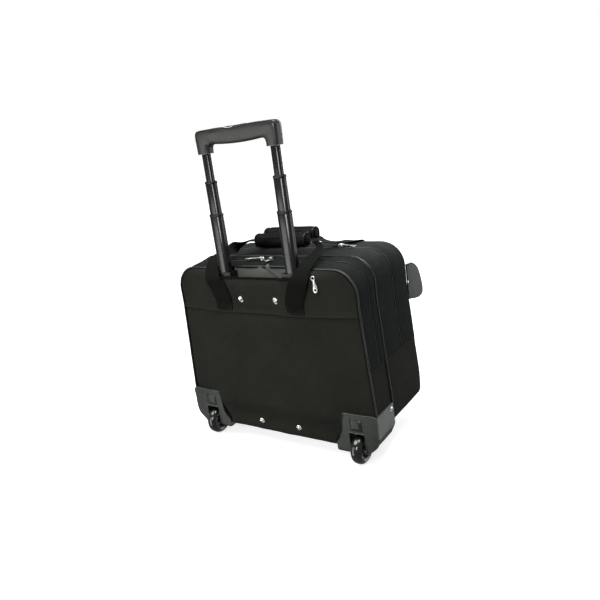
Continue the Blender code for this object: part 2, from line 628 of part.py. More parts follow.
def make_carry_handles(m, rear_pivot, front_pivot):
    quarter = math.pi / 2
    rear = ((0.0810, REAR_STRAP_DEPTH, 0.2990, 0.0195, 0.0), (0.0900, REAR_STRAP_DEPTH, 0.3220, 0.0195, 0.0),
            (0.1040, -0.0125, 0.3430, 0.0190, 0.0), (0.1130, 0.0020, 0.3640, 0.0185, 0.0),
            (0.1130, 0.0260, 0.3770, 0.0170, 0.15), (0.1030, 0.0520, 0.3840, 0.0145, 0.5),
            (0.0900, 0.0720, 0.3860, 0.0115, 0.95), (0.0780, 0.0840, 0.3860, 0.0100, quarter),
            (0.0680, REAR_ROLL[0], REAR_ROLL[1], 0.0100, quarter))
    make_carry_handle("rear_handle", rear, REAR_ROLL, rear_pivot, m)
    front = ((0.0980, 0.2026, 0.3000, 0.0195, 0.0), (0.0980, 0.2032, 0.3350, 0.0195, 0.0),
             (0.0980, 0.2020, 0.3540, 0.0190, 0.0), (0.0970, 0.1930, 0.3630, 0.0185, 0.0),
             (0.0950, 0.1720, 0.3710, 0.0170, -0.15), (0.0880, 0.1500, 0.3810, 0.0130, -0.6),
             (0.0790, 0.1300, 0.3890, 0.0105, -1.2), (0.0680, FRONT_ROLL[0], FRONT_ROLL[1], 0.0100, -quarter))
    make_carry_handle("front_handle", front, FRONT_ROLL, front_pivot, m)


# ---- Zip sliders and pulls ----
def make_slider(name, x, depth, z, material):
    box(name, (x - 0.0055, depth - 0.0042, z), (x + 0.0055, depth + 0.0042, z + 0.0045), material, 0.0012,
        at(x, depth, z))


def make_pull(name, start, end, across, thickness, material):
    """A flat tapered pull. The joint's axis passes through start."""
    along = (end - start).normalized()
    normal = along.cross(across).normalized() * thickness / 2
    length = (end - start).length
    stations = ((0.0, 0.0018), (0.25, 0.0022), (0.55, 0.0034), (0.9, 0.0040), (1.0, 0.0028))
    loops = []
    for share, half in stations:
        centre = start + along * length * share
        loops.append([centre + across * half + normal, centre - across * half + normal,
                      centre - across * half - normal, centre + across * half - normal])
    loft(name, loops, material, start)


def make_pulls(m):
    zip_top = TOP_REAR + (TOP_MIDDLE - TOP_REAR) * LAPTOP_ZIP_DEPTH / PIPING_DEPTH
    ride = zip_top + 0.0010
    bail = ride + 0.0058
    make_slider("laptop_slider_right", 0.0140, LAPTOP_ZIP_DEPTH, ride, m["steel"])
    make_slider("laptop_slider_left", -0.0050, LAPTOP_ZIP_DEPTH, ride, m["steel"])
    start = at(0.0160, LAPTOP_ZIP_DEPTH, bail)
    make_pull("laptop_pull_right", start, at(0.0520, LAPTOP_ZIP_DEPTH - 0.002, bail - 0.0025),
              Vector((0, 1, 0)), 0.0014, m["steel"])
    start = at(-0.0050, LAPTOP_ZIP_DEPTH - 0.001, bail)
    make_pull("laptop_pull_left", start, at(-0.0130, LAPTOP_ZIP_DEPTH - 0.0200, bail - 0.0025),
              Vector((0.9216, 0.3881, 0)), 0.0014, m["steel"])
    ride = TOP_MIDDLE + 0.0010
    bail = ride + 0.0058
    make_slider("front_slider", -0.1000, FRONT_ZIP_DEPTH, ride, m["steel"])
    make_pull("front_pull", at(-0.1020, FRONT_ZIP_DEPTH, bail),
              at(-0.1340, FRONT_ZIP_DEPTH, bail - 0.0025), Vector((0, 1, 0)), 0.0014, m["steel"])
    stand_off = 0.0020
    start, end = (at(x, back_depth(x, z) - stand_off, z) for x, z in ((-0.1245, 0.3420), (-0.1255, 0.3150)))
    make_pull("pole_pocket_pull", start, end, Vector((1, 0, 0)), 0.0014, m["steel"])


def main():
    for obj in list(bpy.data.objects):
        bpy.data.objects.remove(obj)
    m = make_materials()
    lid_pivot = at(0, FRONT_DEPTH, SEAM_Z)
    make_back(m)
    make_walls(m)
    make_front(m, lid_pivot)
    make_flap(m)
    make_handle(m)
    for side, sign in (("left", -1), ("right", 1)):
        make_wheel(side, sign, m)
        make_housing(side, sign, m)
        make_foot(side, sign, m)
    make_carry_handles(m, at(0, REAR_STRAP_DEPTH, 0.2990), at(0, 0.2026, 0.3000))
    make_pulls(m)


main()
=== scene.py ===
"""Looks of the rolling laptop case: cloth, padding, stitching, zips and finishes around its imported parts.

Metres, +Z up, with the back of the case towards +Y. Depth is measured forward from the rear piping, so a
depth d lies at y = REAR_Y - d. Heights here are LIFT below the frame's: box and joint_point take it off, and
add_piece and lifted put it back. A grid is an array of points (along, across, 3), and a ring is an array of
(x, z).
"""

import json
import math

import bmesh
import bpy
import numpy as np
from mathutils import Matrix, Vector, noise


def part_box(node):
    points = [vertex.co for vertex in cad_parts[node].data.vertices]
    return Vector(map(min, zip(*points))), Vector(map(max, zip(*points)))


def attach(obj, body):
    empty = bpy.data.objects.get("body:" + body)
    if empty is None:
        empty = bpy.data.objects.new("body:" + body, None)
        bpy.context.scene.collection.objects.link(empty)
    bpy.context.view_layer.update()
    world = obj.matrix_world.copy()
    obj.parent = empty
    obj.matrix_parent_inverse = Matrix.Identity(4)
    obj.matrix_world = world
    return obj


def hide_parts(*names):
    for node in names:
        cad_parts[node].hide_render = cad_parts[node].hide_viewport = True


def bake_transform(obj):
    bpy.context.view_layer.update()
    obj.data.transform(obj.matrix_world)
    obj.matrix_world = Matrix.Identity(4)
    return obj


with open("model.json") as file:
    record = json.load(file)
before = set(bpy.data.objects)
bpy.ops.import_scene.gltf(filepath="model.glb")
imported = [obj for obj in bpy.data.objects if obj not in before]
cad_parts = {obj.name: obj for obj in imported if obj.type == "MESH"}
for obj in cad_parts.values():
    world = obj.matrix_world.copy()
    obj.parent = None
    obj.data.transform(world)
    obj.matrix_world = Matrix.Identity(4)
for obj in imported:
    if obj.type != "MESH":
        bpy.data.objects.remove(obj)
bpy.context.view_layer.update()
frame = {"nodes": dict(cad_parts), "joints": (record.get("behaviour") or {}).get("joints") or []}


# ---- Places and sizes, from the frame ----
FLOOR_Z = 0.045  # heights here are measured from a datum that puts the tub's floor at this height
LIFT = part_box("front_tub")[0].z - FLOOR_Z


def box(node):
    """A node's lowest and highest corners, with heights measured as they are here."""
    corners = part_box(node)
    return corners[0] - Vector((0, 0, LIFT)), corners[1] - Vector((0, 0, LIFT))


def low(node):
    return box(node)[0]


def high(node):
    return box(node)[1]


def middle(node):
    return (low(node) + high(node)) / 2


def joint_point(child):
    """Where the joint that moves a body has its axis."""
    joint = next(joint for joint in frame["joints"] if joint["child"] == child)
    return np.array(joint["pos_m"], float) - (0, 0, LIFT), np.array(joint["axis"], float)


def lifted(point):
    return Vector(tuple(point)) + Vector((0, 0, LIFT))


def section_of(node):
    corners = box(node)
    return corners[1].x - corners[0].x, corners[1].y - corners[0].y


PIPING = (high("middle_piping").y - low("middle_piping").y) / 2
REAR_Y = high("rear_piping").y - PIPING
PIPING_DEPTH = REAR_Y - middle("middle_piping").y
LAPTOP_ZIP_DEPTH = REAR_Y - middle("laptop_zip").y
FRONT_ZIP_DEPTH = REAR_Y - middle("front_zip").y
FRONT_DEPTH = REAR_Y - low("front_lid").y
LOW_HALF = high("rear_piping").x - PIPING
TAPER = 0.0115  # how much each side leans in between LOW_Z and HIGH_Z
HIGH_HALF = LOW_HALF - TAPER
LOW_Z = 0.095
HIGH_Z = 0.280
SEAM_Z = low("laptop_zip").z
TOP_REAR = high("rear_piping").z - PIPING
TOP_MIDDLE = high("main_gusset").z
REAR_FLOOR_Z = low("rear_lower_gusset").z
BACK_SEAM_Z = high("back_panel").z
BAND_TOP_Z = high("pole_bridge").z - 0.009
POLE_X = middle("outer_tube_right").x
POLE_DEPTH = REAR_Y - middle("outer_tube_right").y
CORNER = 0.045
BOTTOM_CORNER = 0.020
CROWN = 0.0115
ZIP_HALF = 0.0027
CLOTH = 0.0016
STEP = 0.0045  # the usual distance between points of a cloth
INSIDE = np.array((0.0, REAR_Y - 0.1, 0.2))


def at(x, depth, z):
    return np.array((x, REAR_Y - depth, z))


# ---- Materials ----
class Finish:
    """A Principled material, and short ways to add nodes to it."""

    def __init__(self, name, colour, roughness, **sockets):
        self.material = bpy.data.materials.new(name)
        self.material.use_nodes = True
        self.tree = self.material.node_tree
        self.shader = self.tree.nodes["Principled BSDF"]
        self.feed(self.shader.inputs["Base Color"], (*colour, 1.0))
        self.feed(self.shader.inputs["Roughness"], roughness)
        for key, value in sockets.items():
            self.feed(self.shader.inputs[key.replace("_", " ")], value)

    def feed(self, socket, value):
        if isinstance(value, bpy.types.NodeSocket):
            self.tree.links.new(value, socket)
        else:
            socket.default_value = value

    def node(self, kind, inputs=(), **settings):
        made = self.tree.nodes.new("ShaderNode" + kind)
        for key, value in settings.items():
            setattr(made, key, value)
        pairs = inputs.items() if isinstance(inputs, dict) else enumerate(inputs)
        for key, value in pairs:
            self.feed(made.inputs[key], value)
        return made.outputs

    def math(self, operation, first, second=0.0):
        return self.node("Math", [first, second], operation=operation)[0]

    def noise(self, vector, scale, detail=2.0):
        return self.node("TexNoise", {"Vector": vector, "Scale": scale, "Detail": detail})[0]

    def spread(self, value, start, end, low_value, high_value):
        inputs = {"Value": value, "From Min": start, "From Max": end,
                  "To Min": low_value, "To Max": high_value}
        return self.node("MapRange", inputs)[0]

    def blend(self, share, first, second):
        made = self.node("Mix", {0: share, 6: (*first, 1.0), 7: (*second, 1.0)}, data_type="RGBA")
        return made[2]

    def flat(self):
        return self.node("UVMap", uv_map="cloth")[0]

    def solid(self):
        return self.node("TexCoord")["Object"]

    def weave(self, vector, pitch):
        """Height of a plain weave whose threads lie pitch apart."""
        split = self.node("SeparateXYZ", [vector])
        waves = [self.math("SINE", self.math("MULTIPLY", split[i], math.pi / pitch)) for i in (0, 1)]
        over = self.math("GREATER_THAN", self.math("MULTIPLY", waves[0], waves[1]), 0.0)
        ridges = [self.math("ABSOLUTE", wave) for wave in waves]
        return self.node("Mix", {0: over, 2: ridges[0], 3: ridges[1]}, data_type="FLOAT")[0]

    def bump(self, height, distance, strength=1.0, under=None):
        inputs = {"Strength": strength, "Distance": distance, "Height": height}
        if under is not None:
            inputs["Normal"] = under
        return self.node("Bump", inputs)[0]

    def paint(self, colour=None, roughness=None, normal=None):
        for key, value in (("Base Color", colour), ("Roughness", roughness), ("Normal", normal)):
            if value is not None:
                self.feed(self.shader.inputs[key], value)
        return self.material


def woven(name, dark, light, pitch, roughness, depth, sheen, patch=14.0):
    """Cloth with a plain weave, painted darker between its threads as shade in the weave's valleys, and faint
    larger patches of wear.
    """
    finish = Finish(name, dark, roughness, Sheen_Weight=sheen, Sheen_Roughness=0.45, Specular_IOR_Level=0.14)
    flat, solid = finish.flat(), finish.solid()
    height = finish.weave(flat, pitch)
    wear = finish.noise(solid, patch, 3.0)
    # threads darkens the colour in the weave's low parts, which is painted shade. worn is real wear.
    threads, worn = finish.spread(height, 0.0, 1.0, 0.35, 1.0), finish.spread(wear, 0.3, 0.7, 0.55, 1.0)
    share = finish.math("MULTIPLY", threads, worn)
    slack = finish.bump(finish.noise(solid, 90.0, 2.0), 0.0006, 0.5)
    rough = finish.spread(finish.noise(solid, 260.0, 2.0), 0.3, 0.7, roughness - 0.08, roughness + 0.08)
    return finish.paint(finish.blend(share, dark, light), rough, finish.bump(height, depth, 0.8, slack))


def napped(name, dark, light, roughness, grain=420.0, depth=0.0003):
    """Soft knitted cloth over foam: a fine uneven nap and slack, with no direction of its own."""
    finish = Finish(name, dark, roughness, Sheen_Weight=0.0, Specular_IOR_Level=0.14)
    solid = finish.solid()
    fine = finish.noise(solid, grain, 3.0)
    slack = finish.bump(finish.noise(solid, 70.0, 2.0), 0.0008, 0.5)
    share = finish.spread(finish.math("MULTIPLY", fine, finish.noise(solid, 25.0, 2.0)), 0.1, 0.5, 0.0, 1.0)
    rough = finish.spread(finish.noise(solid, 200.0, 2.0), 0.3, 0.7, roughness - 0.08, roughness + 0.08)
    return finish.paint(finish.blend(share, dark, light), rough, finish.bump(fine, depth, 0.7, slack))


def webbed(name, dark, light):
    """Webbing: ribs across its length, with a twill run of finer threads in each, its colour painted darker
    in their low parts as shade.
    """
    finish = Finish(name, dark, 0.78, Sheen_Weight=0.02, Sheen_Roughness=0.4, Specular_IOR_Level=0.12)
    split = finish.node("SeparateXYZ", [finish.flat()])
    rib = finish.math("ABSOLUTE", finish.math("SINE", finish.math("MULTIPLY", split[0], math.pi / 0.0021)))
    skew = finish.math("ADD", split[1], finish.math("MULTIPLY", split[0], 0.8))
    thread = finish.math("ABSOLUTE", finish.math("SINE", finish.math("MULTIPLY", skew, math.pi / 0.0009)))
    height = finish.math("ADD", rib, finish.math("MULTIPLY", thread, 0.45))
    # The colour follows the height: painted shade in the low parts of the ribs and threads.
    share = finish.spread(height, 0.2, 1.4, 0.0, 1.0)
    return finish.paint(finish.blend(share, dark, light), None, finish.bump(height, 0.0004, 0.8))


def moulded(name, dark, light, roughness, grain=900.0, depth=0.00012, **sockets):
    """Moulded plastic with a fine spark-eroded grain and rubbed patches."""
    finish = Finish(name, dark, roughness, **sockets)
    solid = finish.solid()
    wear = finish.noise(solid, 22.0, 4.0)
    rough = finish.spread(wear, 0.3, 0.7, roughness - 0.07, roughness + 0.07)
    normal = finish.bump(finish.noise(solid, grain, 2.0), depth, 0.6)
    return finish.paint(finish.blend(finish.spread(wear, 0.35, 0.7, 0.0, 1.0), dark, light), rough, normal)


def glossed(name, dark, light, roughness, **sockets):
    """A glossy coat with faint orange peel and dust."""
    finish = Finish(name, dark, roughness, **sockets)
    solid = finish.solid()
    dust = finish.noise(solid, 55.0, 5.0)
    rough = finish.spread(dust, 0.35, 0.75, roughness, roughness + 0.08)
    normal = finish.bump(finish.noise(solid, 300.0, 1.0), 0.00001, 0.2)
    return finish.paint(finish.blend(finish.spread(dust, 0.4, 0.8, 0.0, 1.0), dark, light), rough, normal)


def plated(name, colour, dull, roughness):
    """Bright metal with fine handling marks."""
    finish = Finish(name, colour, roughness, Metallic=1.0)
    solid = finish.solid()
    marks = finish.noise(solid, 700.0, 3.0)
    rough = finish.spread(marks, 0.3, 0.7, roughness - 0.06, roughness + 0.1)
    normal = finish.bump(marks, 0.00004, 0.5)
    return finish.paint(finish.blend(finish.spread(marks, 0.35, 0.75, 0.0, 1.0), colour, dull), rough, normal)


MATERIALS = {
    "fabric": woven("ballistic_fabric", (0.0118, 0.0126, 0.0094), (0.0250, 0.0266, 0.0204),
                    0.0011, 0.78, 0.00022, 0.02),
    "gusset": woven("gusset_fabric", (0.0026, 0.0038, 0.0036), (0.0064, 0.0092, 0.0088),
                    0.0007, 0.70, 0.00014, 0.02),
    "lining": woven("grey_lining", (0.100, 0.106, 0.094), (0.145, 0.153, 0.137), 0.0006, 0.70, 0.00010, 0.05),
    # The flap's lining is the grey lining painted lighter: painted light for a face that turns from the
    # lamps.
    "flap_lining_painted_lighter": woven("flap_lining_painted_lighter", (0.150, 0.158, 0.152), (0.210, 0.220, 0.212),
                         0.0006, 0.70, 0.00010, 0.05),
    "binding": woven("edge_binding", (0.0020, 0.0024, 0.0018), (0.0050, 0.0056, 0.0046),
                     0.0009, 0.80, 0.00020, 0.01),
    "padding": napped("wrap_fabric", (0.0010, 0.0013, 0.0009), (0.0035, 0.0041, 0.0032), 0.50),
    "webbing": webbed("black_webbing", (0.0020, 0.0026, 0.0018), (0.0070, 0.0082, 0.0062)),
    "tape": webbed("zip_tape", (0.0020, 0.0024, 0.0020), (0.0060, 0.0068, 0.0060)),
    "coil": glossed("zip_coil", (0.0060, 0.0066, 0.0060), (0.0140, 0.0150, 0.0140), 0.38),
    "thread": glossed("thread", (0.0060, 0.0068, 0.0058), (0.0150, 0.0160, 0.0145), 0.55),
    "piping": moulded("piping_vinyl", (0.016, 0.019, 0.017), (0.030, 0.034, 0.030), 0.30, 1500.0),
    "plastic": moulded("moulded_plastic", (0.018, 0.0212, 0.0175), (0.029, 0.0332, 0.028), 0.32),
    # rim: a lighter plastic for the beads on the housings' edges, a painted highlight.
    "rim": moulded("rim_highlight_plastic", (0.050, 0.056, 0.049), (0.085, 0.092, 0.082), 0.26),
    "grip": moulded("grip_plastic", (0.030, 0.032, 0.028), (0.046, 0.049, 0.043), 0.30, 700.0),
    "black_plastic": moulded("black_plastic", (0.0022, 0.0026, 0.0020), (0.0050, 0.0056, 0.0046), 0.36),
    "tube": glossed("tube_lacquer", (0.0030, 0.0036, 0.0028), (0.0060, 0.0070, 0.0055), 0.20,
                    Coat_Weight=0.4, Coat_Roughness=0.14),
    "tyre": glossed("wheel_urethane", (0.0040, 0.0048, 0.0038), (0.0085, 0.0096, 0.0082), 0.16,
                    Coat_Weight=0.8, Coat_Roughness=0.08),
    "nickel": plated("nickel_plate", (0.90, 0.90, 0.87), (0.74, 0.74, 0.71), 0.22),
    "aluminium": plated("mill_aluminium", (0.62, 0.63, 0.64), (0.50, 0.51, 0.52), 0.38),
}


# ---- Mesh building ----
def add_piece(name, points, faces, finish, body, replaces=(), lining=None, inner=(), uvs=None, smooth=60):
    """One closed piece that rides on body. Faces numbered in inner take the lining's finish."""
    mesh = bpy.data.meshes.new(name)
    mesh.from_pydata([(x, y, z + LIFT) for x, y, z in points], [], [tuple(f) for f in faces])
    mesh.materials.append(MATERIALS[finish])
    if lining:
        mesh.materials.append(MATERIALS[lining])
        marks = np.zeros(len(faces), np.int32)
        marks[list(inner)] = 1
        mesh.polygons.foreach_set("material_index", marks)
    if uvs is not None:
        layer = mesh.uv_layers.new(name="cloth")
        corners = np.zeros(len(mesh.loops), np.int32)
        mesh.loops.foreach_get("vertex_index", corners)
        layer.data.foreach_set("uv", np.asarray(uvs, np.float32)[corners].ravel())
    shape = bmesh.new()
    shape.from_mesh(mesh)
    bmesh.ops.recalc_face_normals(shape, faces=shape.faces)
    shape.to_mesh(mesh)
    shape.free()
    mesh.shade_smooth()
    mesh.set_sharp_from_angle(angle=math.radians(smooth))
    obj = bpy.data.objects.new(name, mesh)
    bpy.context.scene.collection.objects.link(obj)
    if body:
        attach(obj, body)
    if replaces:
        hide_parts(*replaces)
    return obj


def run(grid, axis):
    """Distance of each point from its line's start, along an axis of the grid."""
    steps = np.linalg.norm(np.diff(grid, axis=axis), axis=2)
    start = np.zeros_like(np.take(steps, [0], axis=axis))
    return np.concatenate([start, np.cumsum(steps, axis=axis)], axis=axis)


def normals(grid, inside=INSIDE):
    across = np.cross(np.gradient(grid, axis=0), np.gradient(grid, axis=1))
    across /= np.linalg.norm(across, axis=2, keepdims=True) + 1e-12
    return across if (across * (grid - inside)).sum() > 0 else -across


def noise_at(points, scale, seed):
    """Smooth noise between about -1 and 1, with features of that size in metres."""
    flat = points.reshape(-1, 3) / scale + seed * 7.13
    return np.array([noise.noise(Vector(p)) for p in flat]).reshape(points.shape[:-1])


def surface_near(grid, x, z):
    """The point of a grid that lies nearest to (x, z)."""
    gap = (grid[..., 0] - x) ** 2 + (grid[..., 2] - z) ** 2
    return grid[np.unravel_index(np.argmin(gap), gap.shape)]


def spaced(length, step=STEP):
    """Shares from 0 to 1 along a length, closer together near both ends, where cloth rolls over."""
    edge = np.array((0.0, 0.0004, 0.0010, 0.0018, 0.0028))
    count = max(1, round((length - 2 * edge[-1]) / step))
    inner = np.linspace(edge[-1], length - edge[-1], count + 1)
    return np.concatenate([edge[:-1], inner, length - edge[:-1][::-1]]) / length


def dress(grid, swell=0.001, pucker=0.0003, ripple=0.0004, seed=0, ends=False, roll=0.0007):
    """Lift of a cloth off its grid: swollen between seams, puckered beside them, rolled at its edges."""
    along, across = run(grid, 0), run(grid, 1)
    near = np.minimum(across, across[:, -1:] - across)
    if ends:
        near = np.minimum(near, np.minimum(along, along[-1:] - along))
    edge = np.exp(-near / 0.008)
    crimp = noise_at(grid, 0.009, seed + 3)
    wave = noise_at(grid, 0.055, seed)
    lift = swell * (1 - edge) + pucker * crimp * edge + ripple * wave * (1 - edge)
    return lift - roll * np.exp(-((near / roll) ** 2))


def cloth(name, grid, finish, body, lift=0.0, thickness=CLOTH, lining="lining", inside=INSIDE, **options):
    """A closed sheet over a grid. Returns the piece, and its outer points."""
    out = normals(grid, inside)
    outer = grid + out * np.broadcast_to(lift, grid.shape[:2])[..., None]
    inner = outer - out * thickness
    rows, columns = grid.shape[:2]
    count = rows * columns
    index = np.arange(count).reshape(rows, columns)
    quads = np.stack([index[:-1, :-1], index[1:, :-1], index[1:, 1:], index[:-1, 1:]], axis=-1).reshape(-1, 4)
    faces = [*quads, *(quads[:, ::-1] + count)]
    border = [*index[:, 0], *index[-1, 1:], *index[:-1, -1][::-1], *index[0, 1:-1][::-1]]
    for first, second in zip(border, border[1:] + border[:1]):
        faces.append((second, first, first + count, second + count))
    flat = np.stack([run(grid, 0), run(grid, 1)], axis=-1).reshape(-1, 2)
    made = add_piece(name, np.concatenate([outer.reshape(-1, 3), inner.reshape(-1, 3)]), faces, finish, body,
                     lining=lining, inner=range(len(quads), 2 * len(quads)), uvs=np.concatenate([flat, flat]),
                     **options)
    return made, outer


def ring_faces(rows, sides, ring=False):
    """Faces that join rows of points, each a closed loop, and their end caps unless they join in a ring."""
    faces = []
    for i in range(rows if ring else rows - 1):
        base, following = i * sides, (i + 1) % rows * sides
        for j in range(sides):
            k = (j + 1) % sides
            faces.append((base + j, base + k, following + k, following + j))
    if not ring:
        faces.append(tuple(range(sides))[::-1])
        faces.append(tuple(range((rows - 1) * sides, rows * sides)))
    return faces


def loft(name, loops, finish, body, ring=False, **options):
    """A skin over loops of equal counts. Its flat coordinates run round and along, in metres."""
    loops = np.asarray(loops, float)
    round_loop = run(loops, 1)
    along = np.broadcast_to(run(loops, 0).mean(axis=1)[:, None], round_loop.shape)
    flat = np.stack([round_loop, along], axis=-1).reshape(-1, 2)
    faces = ring_faces(len(loops), loops.shape[1], ring)
    return add_piece(name, loops.reshape(-1, 3), faces, finish, body, uvs=flat, **options)


def circle(count, turn=0.0):
    angles = 2 * np.pi * (np.arange(count) + turn) / count
    return np.cos(angles), np.sin(angles)


def directions(points):
    along = np.gradient(np.asarray(points, float), axis=0)
    return along / (np.linalg.norm(along, axis=1, keepdims=True) + 1e-12)


def unit(vectors):
    return vectors / (np.linalg.norm(vectors, axis=-1, keepdims=True) + 1e-12)


def swept(points, radius, sideways, sides=12):
    """Loops of a round section along points. radius may be one number or one for each point."""
    points = np.asarray(points, float)
    along = directions(points)
    across = unit(np.asarray(sideways) - along * (along @ np.asarray(sideways, float))[:, None])
    up = np.cross(along, across)
    cosine, sine = circle(sides)
    reach = np.broadcast_to(radius, len(points))[:, None, None]
    section = cosine[None, :, None] * across[:, None] + sine[None, :, None] * up[:, None]
    return points[:, None] + reach * section


def smooth_path(points, step):
    """Catmull-Rom points through the given ones, about step apart."""
    points = np.asarray(points, float)
    padded = np.concatenate([[2 * points[0] - points[1]], points, [2 * points[-1] - points[-2]]])
    made = [points[0]]
    for a, b, c, d in zip(padded, padded[1:], padded[2:], padded[3:]):
        count = max(1, round(float(np.linalg.norm((c - b)[:3])) / step))
        for t in np.linspace(0, 1, count + 1)[1:]:
            made.append(0.5 * (2 * b + (c - a) * t + (2 * a - 5 * b + 4 * c - d) * t**2
                               + (3 * b - a - 3 * c + d) * t**3))
    return np.array(made)


def resample(line, spacing):
    """Points of a line at an even spacing, and each point's direction."""
    line = np.asarray(line, float)
    reach = np.concatenate([[0], np.cumsum(np.linalg.norm(np.diff(line, axis=0), axis=1))])
    places = np.arange(spacing / 2, reach[-1], spacing)
    points = np.stack([np.interp(places, reach, line[:, i]) for i in range(3)], axis=1)
    return points, directions(points)


def stitches(name, lines, body, length=0.0027, spacing=0.0037, radius=0.00038, finish="thread"):
    """Thread stitches along lines of points on the cloth, as one piece."""
    points, faces = [], []
    cosine, sine = circle(6)
    for line in lines:
        for centre, along in zip(*resample(line, spacing)):
            side = Vector(along).orthogonal().normalized()
            up = Vector(along).cross(side)
            base = len(points)
            for reach, swell in ((-0.5, 0.45), (-0.25, 1.0), (0.25, 1.0), (0.5, 0.45)):
                ring = centre + along * length * reach
                points.extend(ring + radius * swell * (c * np.array(side) + s * np.array(up))
                              for c, s in zip(cosine, sine))
            faces.extend(tuple(base + i for i in face) for face in ring_faces(4, 6))
    flat = np.zeros((len(points), 2))
    return add_piece(name, points, faces, finish, body, uvs=flat)


# ---- The case's outline, seen from behind ----
def side_x(z):
    return LOW_HALF - TAPER * np.clip((np.asarray(z, float) - LOW_Z) / (HIGH_Z - LOW_Z), 0, 1)


def ease(value, start, end):
    share = np.clip((np.asarray(value, float) - start) / (end - start), 0, 1)
    return share * share * (3 - 2 * share)


def mirrored(right):
    """A ring from the left side's start, through the middle, to the right side's start."""
    left = right * (-1, 1)
    return np.concatenate([left, right[::-1][1:]])


def arc(centre, radius, angles):
    return np.stack([centre[0] + radius * np.cos(angles), centre[1] + radius * np.sin(angles)], axis=1)


def upper_ring(top, inset=0.0, bottom=SEAM_Z):
    """Up the left side from bottom, over the top and down the right side. Every top gives the same count."""
    radius = CORNER - inset
    centre = (HIGH_HALF - CORNER, top - CORNER)
    z = np.linspace(bottom, centre[1], 31)[:-1]
    angles = np.linspace(0, np.pi / 2, 18)
    x = np.linspace(centre[0], 0, 36)[1:]
    right = np.concatenate([np.stack([side_x(z) - inset, z], axis=1),
                            arc(centre, radius, angles),
                            np.stack([x, np.full(len(x), top - inset)], axis=1)])
    return mirrored(right)


def lower_ring(bottom, inset=0.0, reduce=0.0, top=SEAM_Z):
    """Down the left side from top, along the bottom and up the right side."""
    radius = BOTTOM_CORNER - inset
    centre = (LOW_HALF - reduce - BOTTOM_CORNER, bottom + BOTTOM_CORNER)
    z = np.linspace(top, centre[1], 23)[:-1]
    angles = np.linspace(0, -np.pi / 2, 9)
    x = np.linspace(centre[0], 0, 40)[1:]
    right = np.concatenate([np.stack([side_x(z) - inset - reduce, z], axis=1),
                            arc(centre, radius, angles),
                            np.stack([x, np.full(len(x), bottom + inset)], axis=1)])
    return mirrored(right)


def wall(ring_at, start, end, step=STEP):
    """Grid of a wall whose ring at a depth is ring_at(depth). start may hold one depth for each point."""
    width = float(np.min(np.abs(end - np.asarray(start, float))))
    columns = []
    for share in spaced(width, step):
        depth = np.broadcast_to(start + (end - start) * share, len(ring_at(0.0)))
        ring = ring_at(depth)
        columns.append(np.stack([ring[:, 0], REAR_Y - depth, ring[:, 1]], axis=1))
    return np.stack(columns, axis=1)


def upper_at(depth, inset=0.0):
    rear, front = upper_ring(TOP_REAR, inset), upper_ring(TOP_MIDDLE, inset)
    share = np.clip(np.broadcast_to(depth, len(rear)) / PIPING_DEPTH, 0, 1)[:, None]
    return rear + (front - rear) * share


def slot_depth(x):
    """Depth of the rear piping, which runs forward round the handle tubes."""
    reach = REAR_Y - low("rear_piping").y - PIPING
    return reach * (1 - ease(np.abs(x), 0.096, 0.125))


def back_depth(x, z):
    """Depth of the padded back's outer face."""
    across = 1 - ease(np.abs(x), 0.096, 0.195)
    up = (0.12 + 0.88 * ease(z, 0.046, 0.086)) * (1 - ease(z, 0.340, 0.356))
    dip = 0.0030 * (1 - ease(np.abs(x), 0.044, 0.060)) * ease(z, 0.255, 0.285)
    return dip - CROWN * across * up


# ---- Back ----
def back_panel():
    """The padded lower back: crowned, pulled in at its seams, and rolled under at the bottom."""
    edge = 0.0024
    hem_z = 0.0185
    z = hem_z + (BACK_SEAM_Z - hem_z) * spaced(BACK_SEAM_Z - hem_z, 0.006)
    shares = 2 * spaced(0.4, 0.006) - 1
    rows = []
    for height in z:
        half = side_x(height) - edge
        if height < 0.066:
            half = 0.1240 + 0.0175 * ease(height, 0.028, 0.064)
        x = shares * half
        depth = back_depth(x, height)
        under = 0.010 * (1 - np.sqrt(np.clip(1 - (1 - np.clip((height - hem_z) / 0.010, 0, 1)) ** 2, 0, 1)))
        rows.append(np.stack([x, REAR_Y - depth - under, np.full(len(x), height)], axis=1))
    grid = np.array(rows)
    top_pull = np.exp(-(BACK_SEAM_Z - grid[..., 2]) / 0.007)
    lift = dress(grid, 0.0008, 0.0004, 0.0009, 1, ends=True)
    lift += 0.0007 * noise_at(grid * (1, 1, 0.35), 0.030, 9) * (1 - top_pull) - 0.0012 * top_pull
    beside_housing = ease(np.abs(grid[..., 0]), 0.118, 0.150) * (1 - ease(grid[..., 2], 0.088, 0.112))
    lift = lift * (1 - beside_housing) - 0.0014 * beside_housing
    panel, outer = cloth("back_panel_cloth", grid, "fabric", "case", lift, 0.0022, replaces=["back_panel"])
    return outer


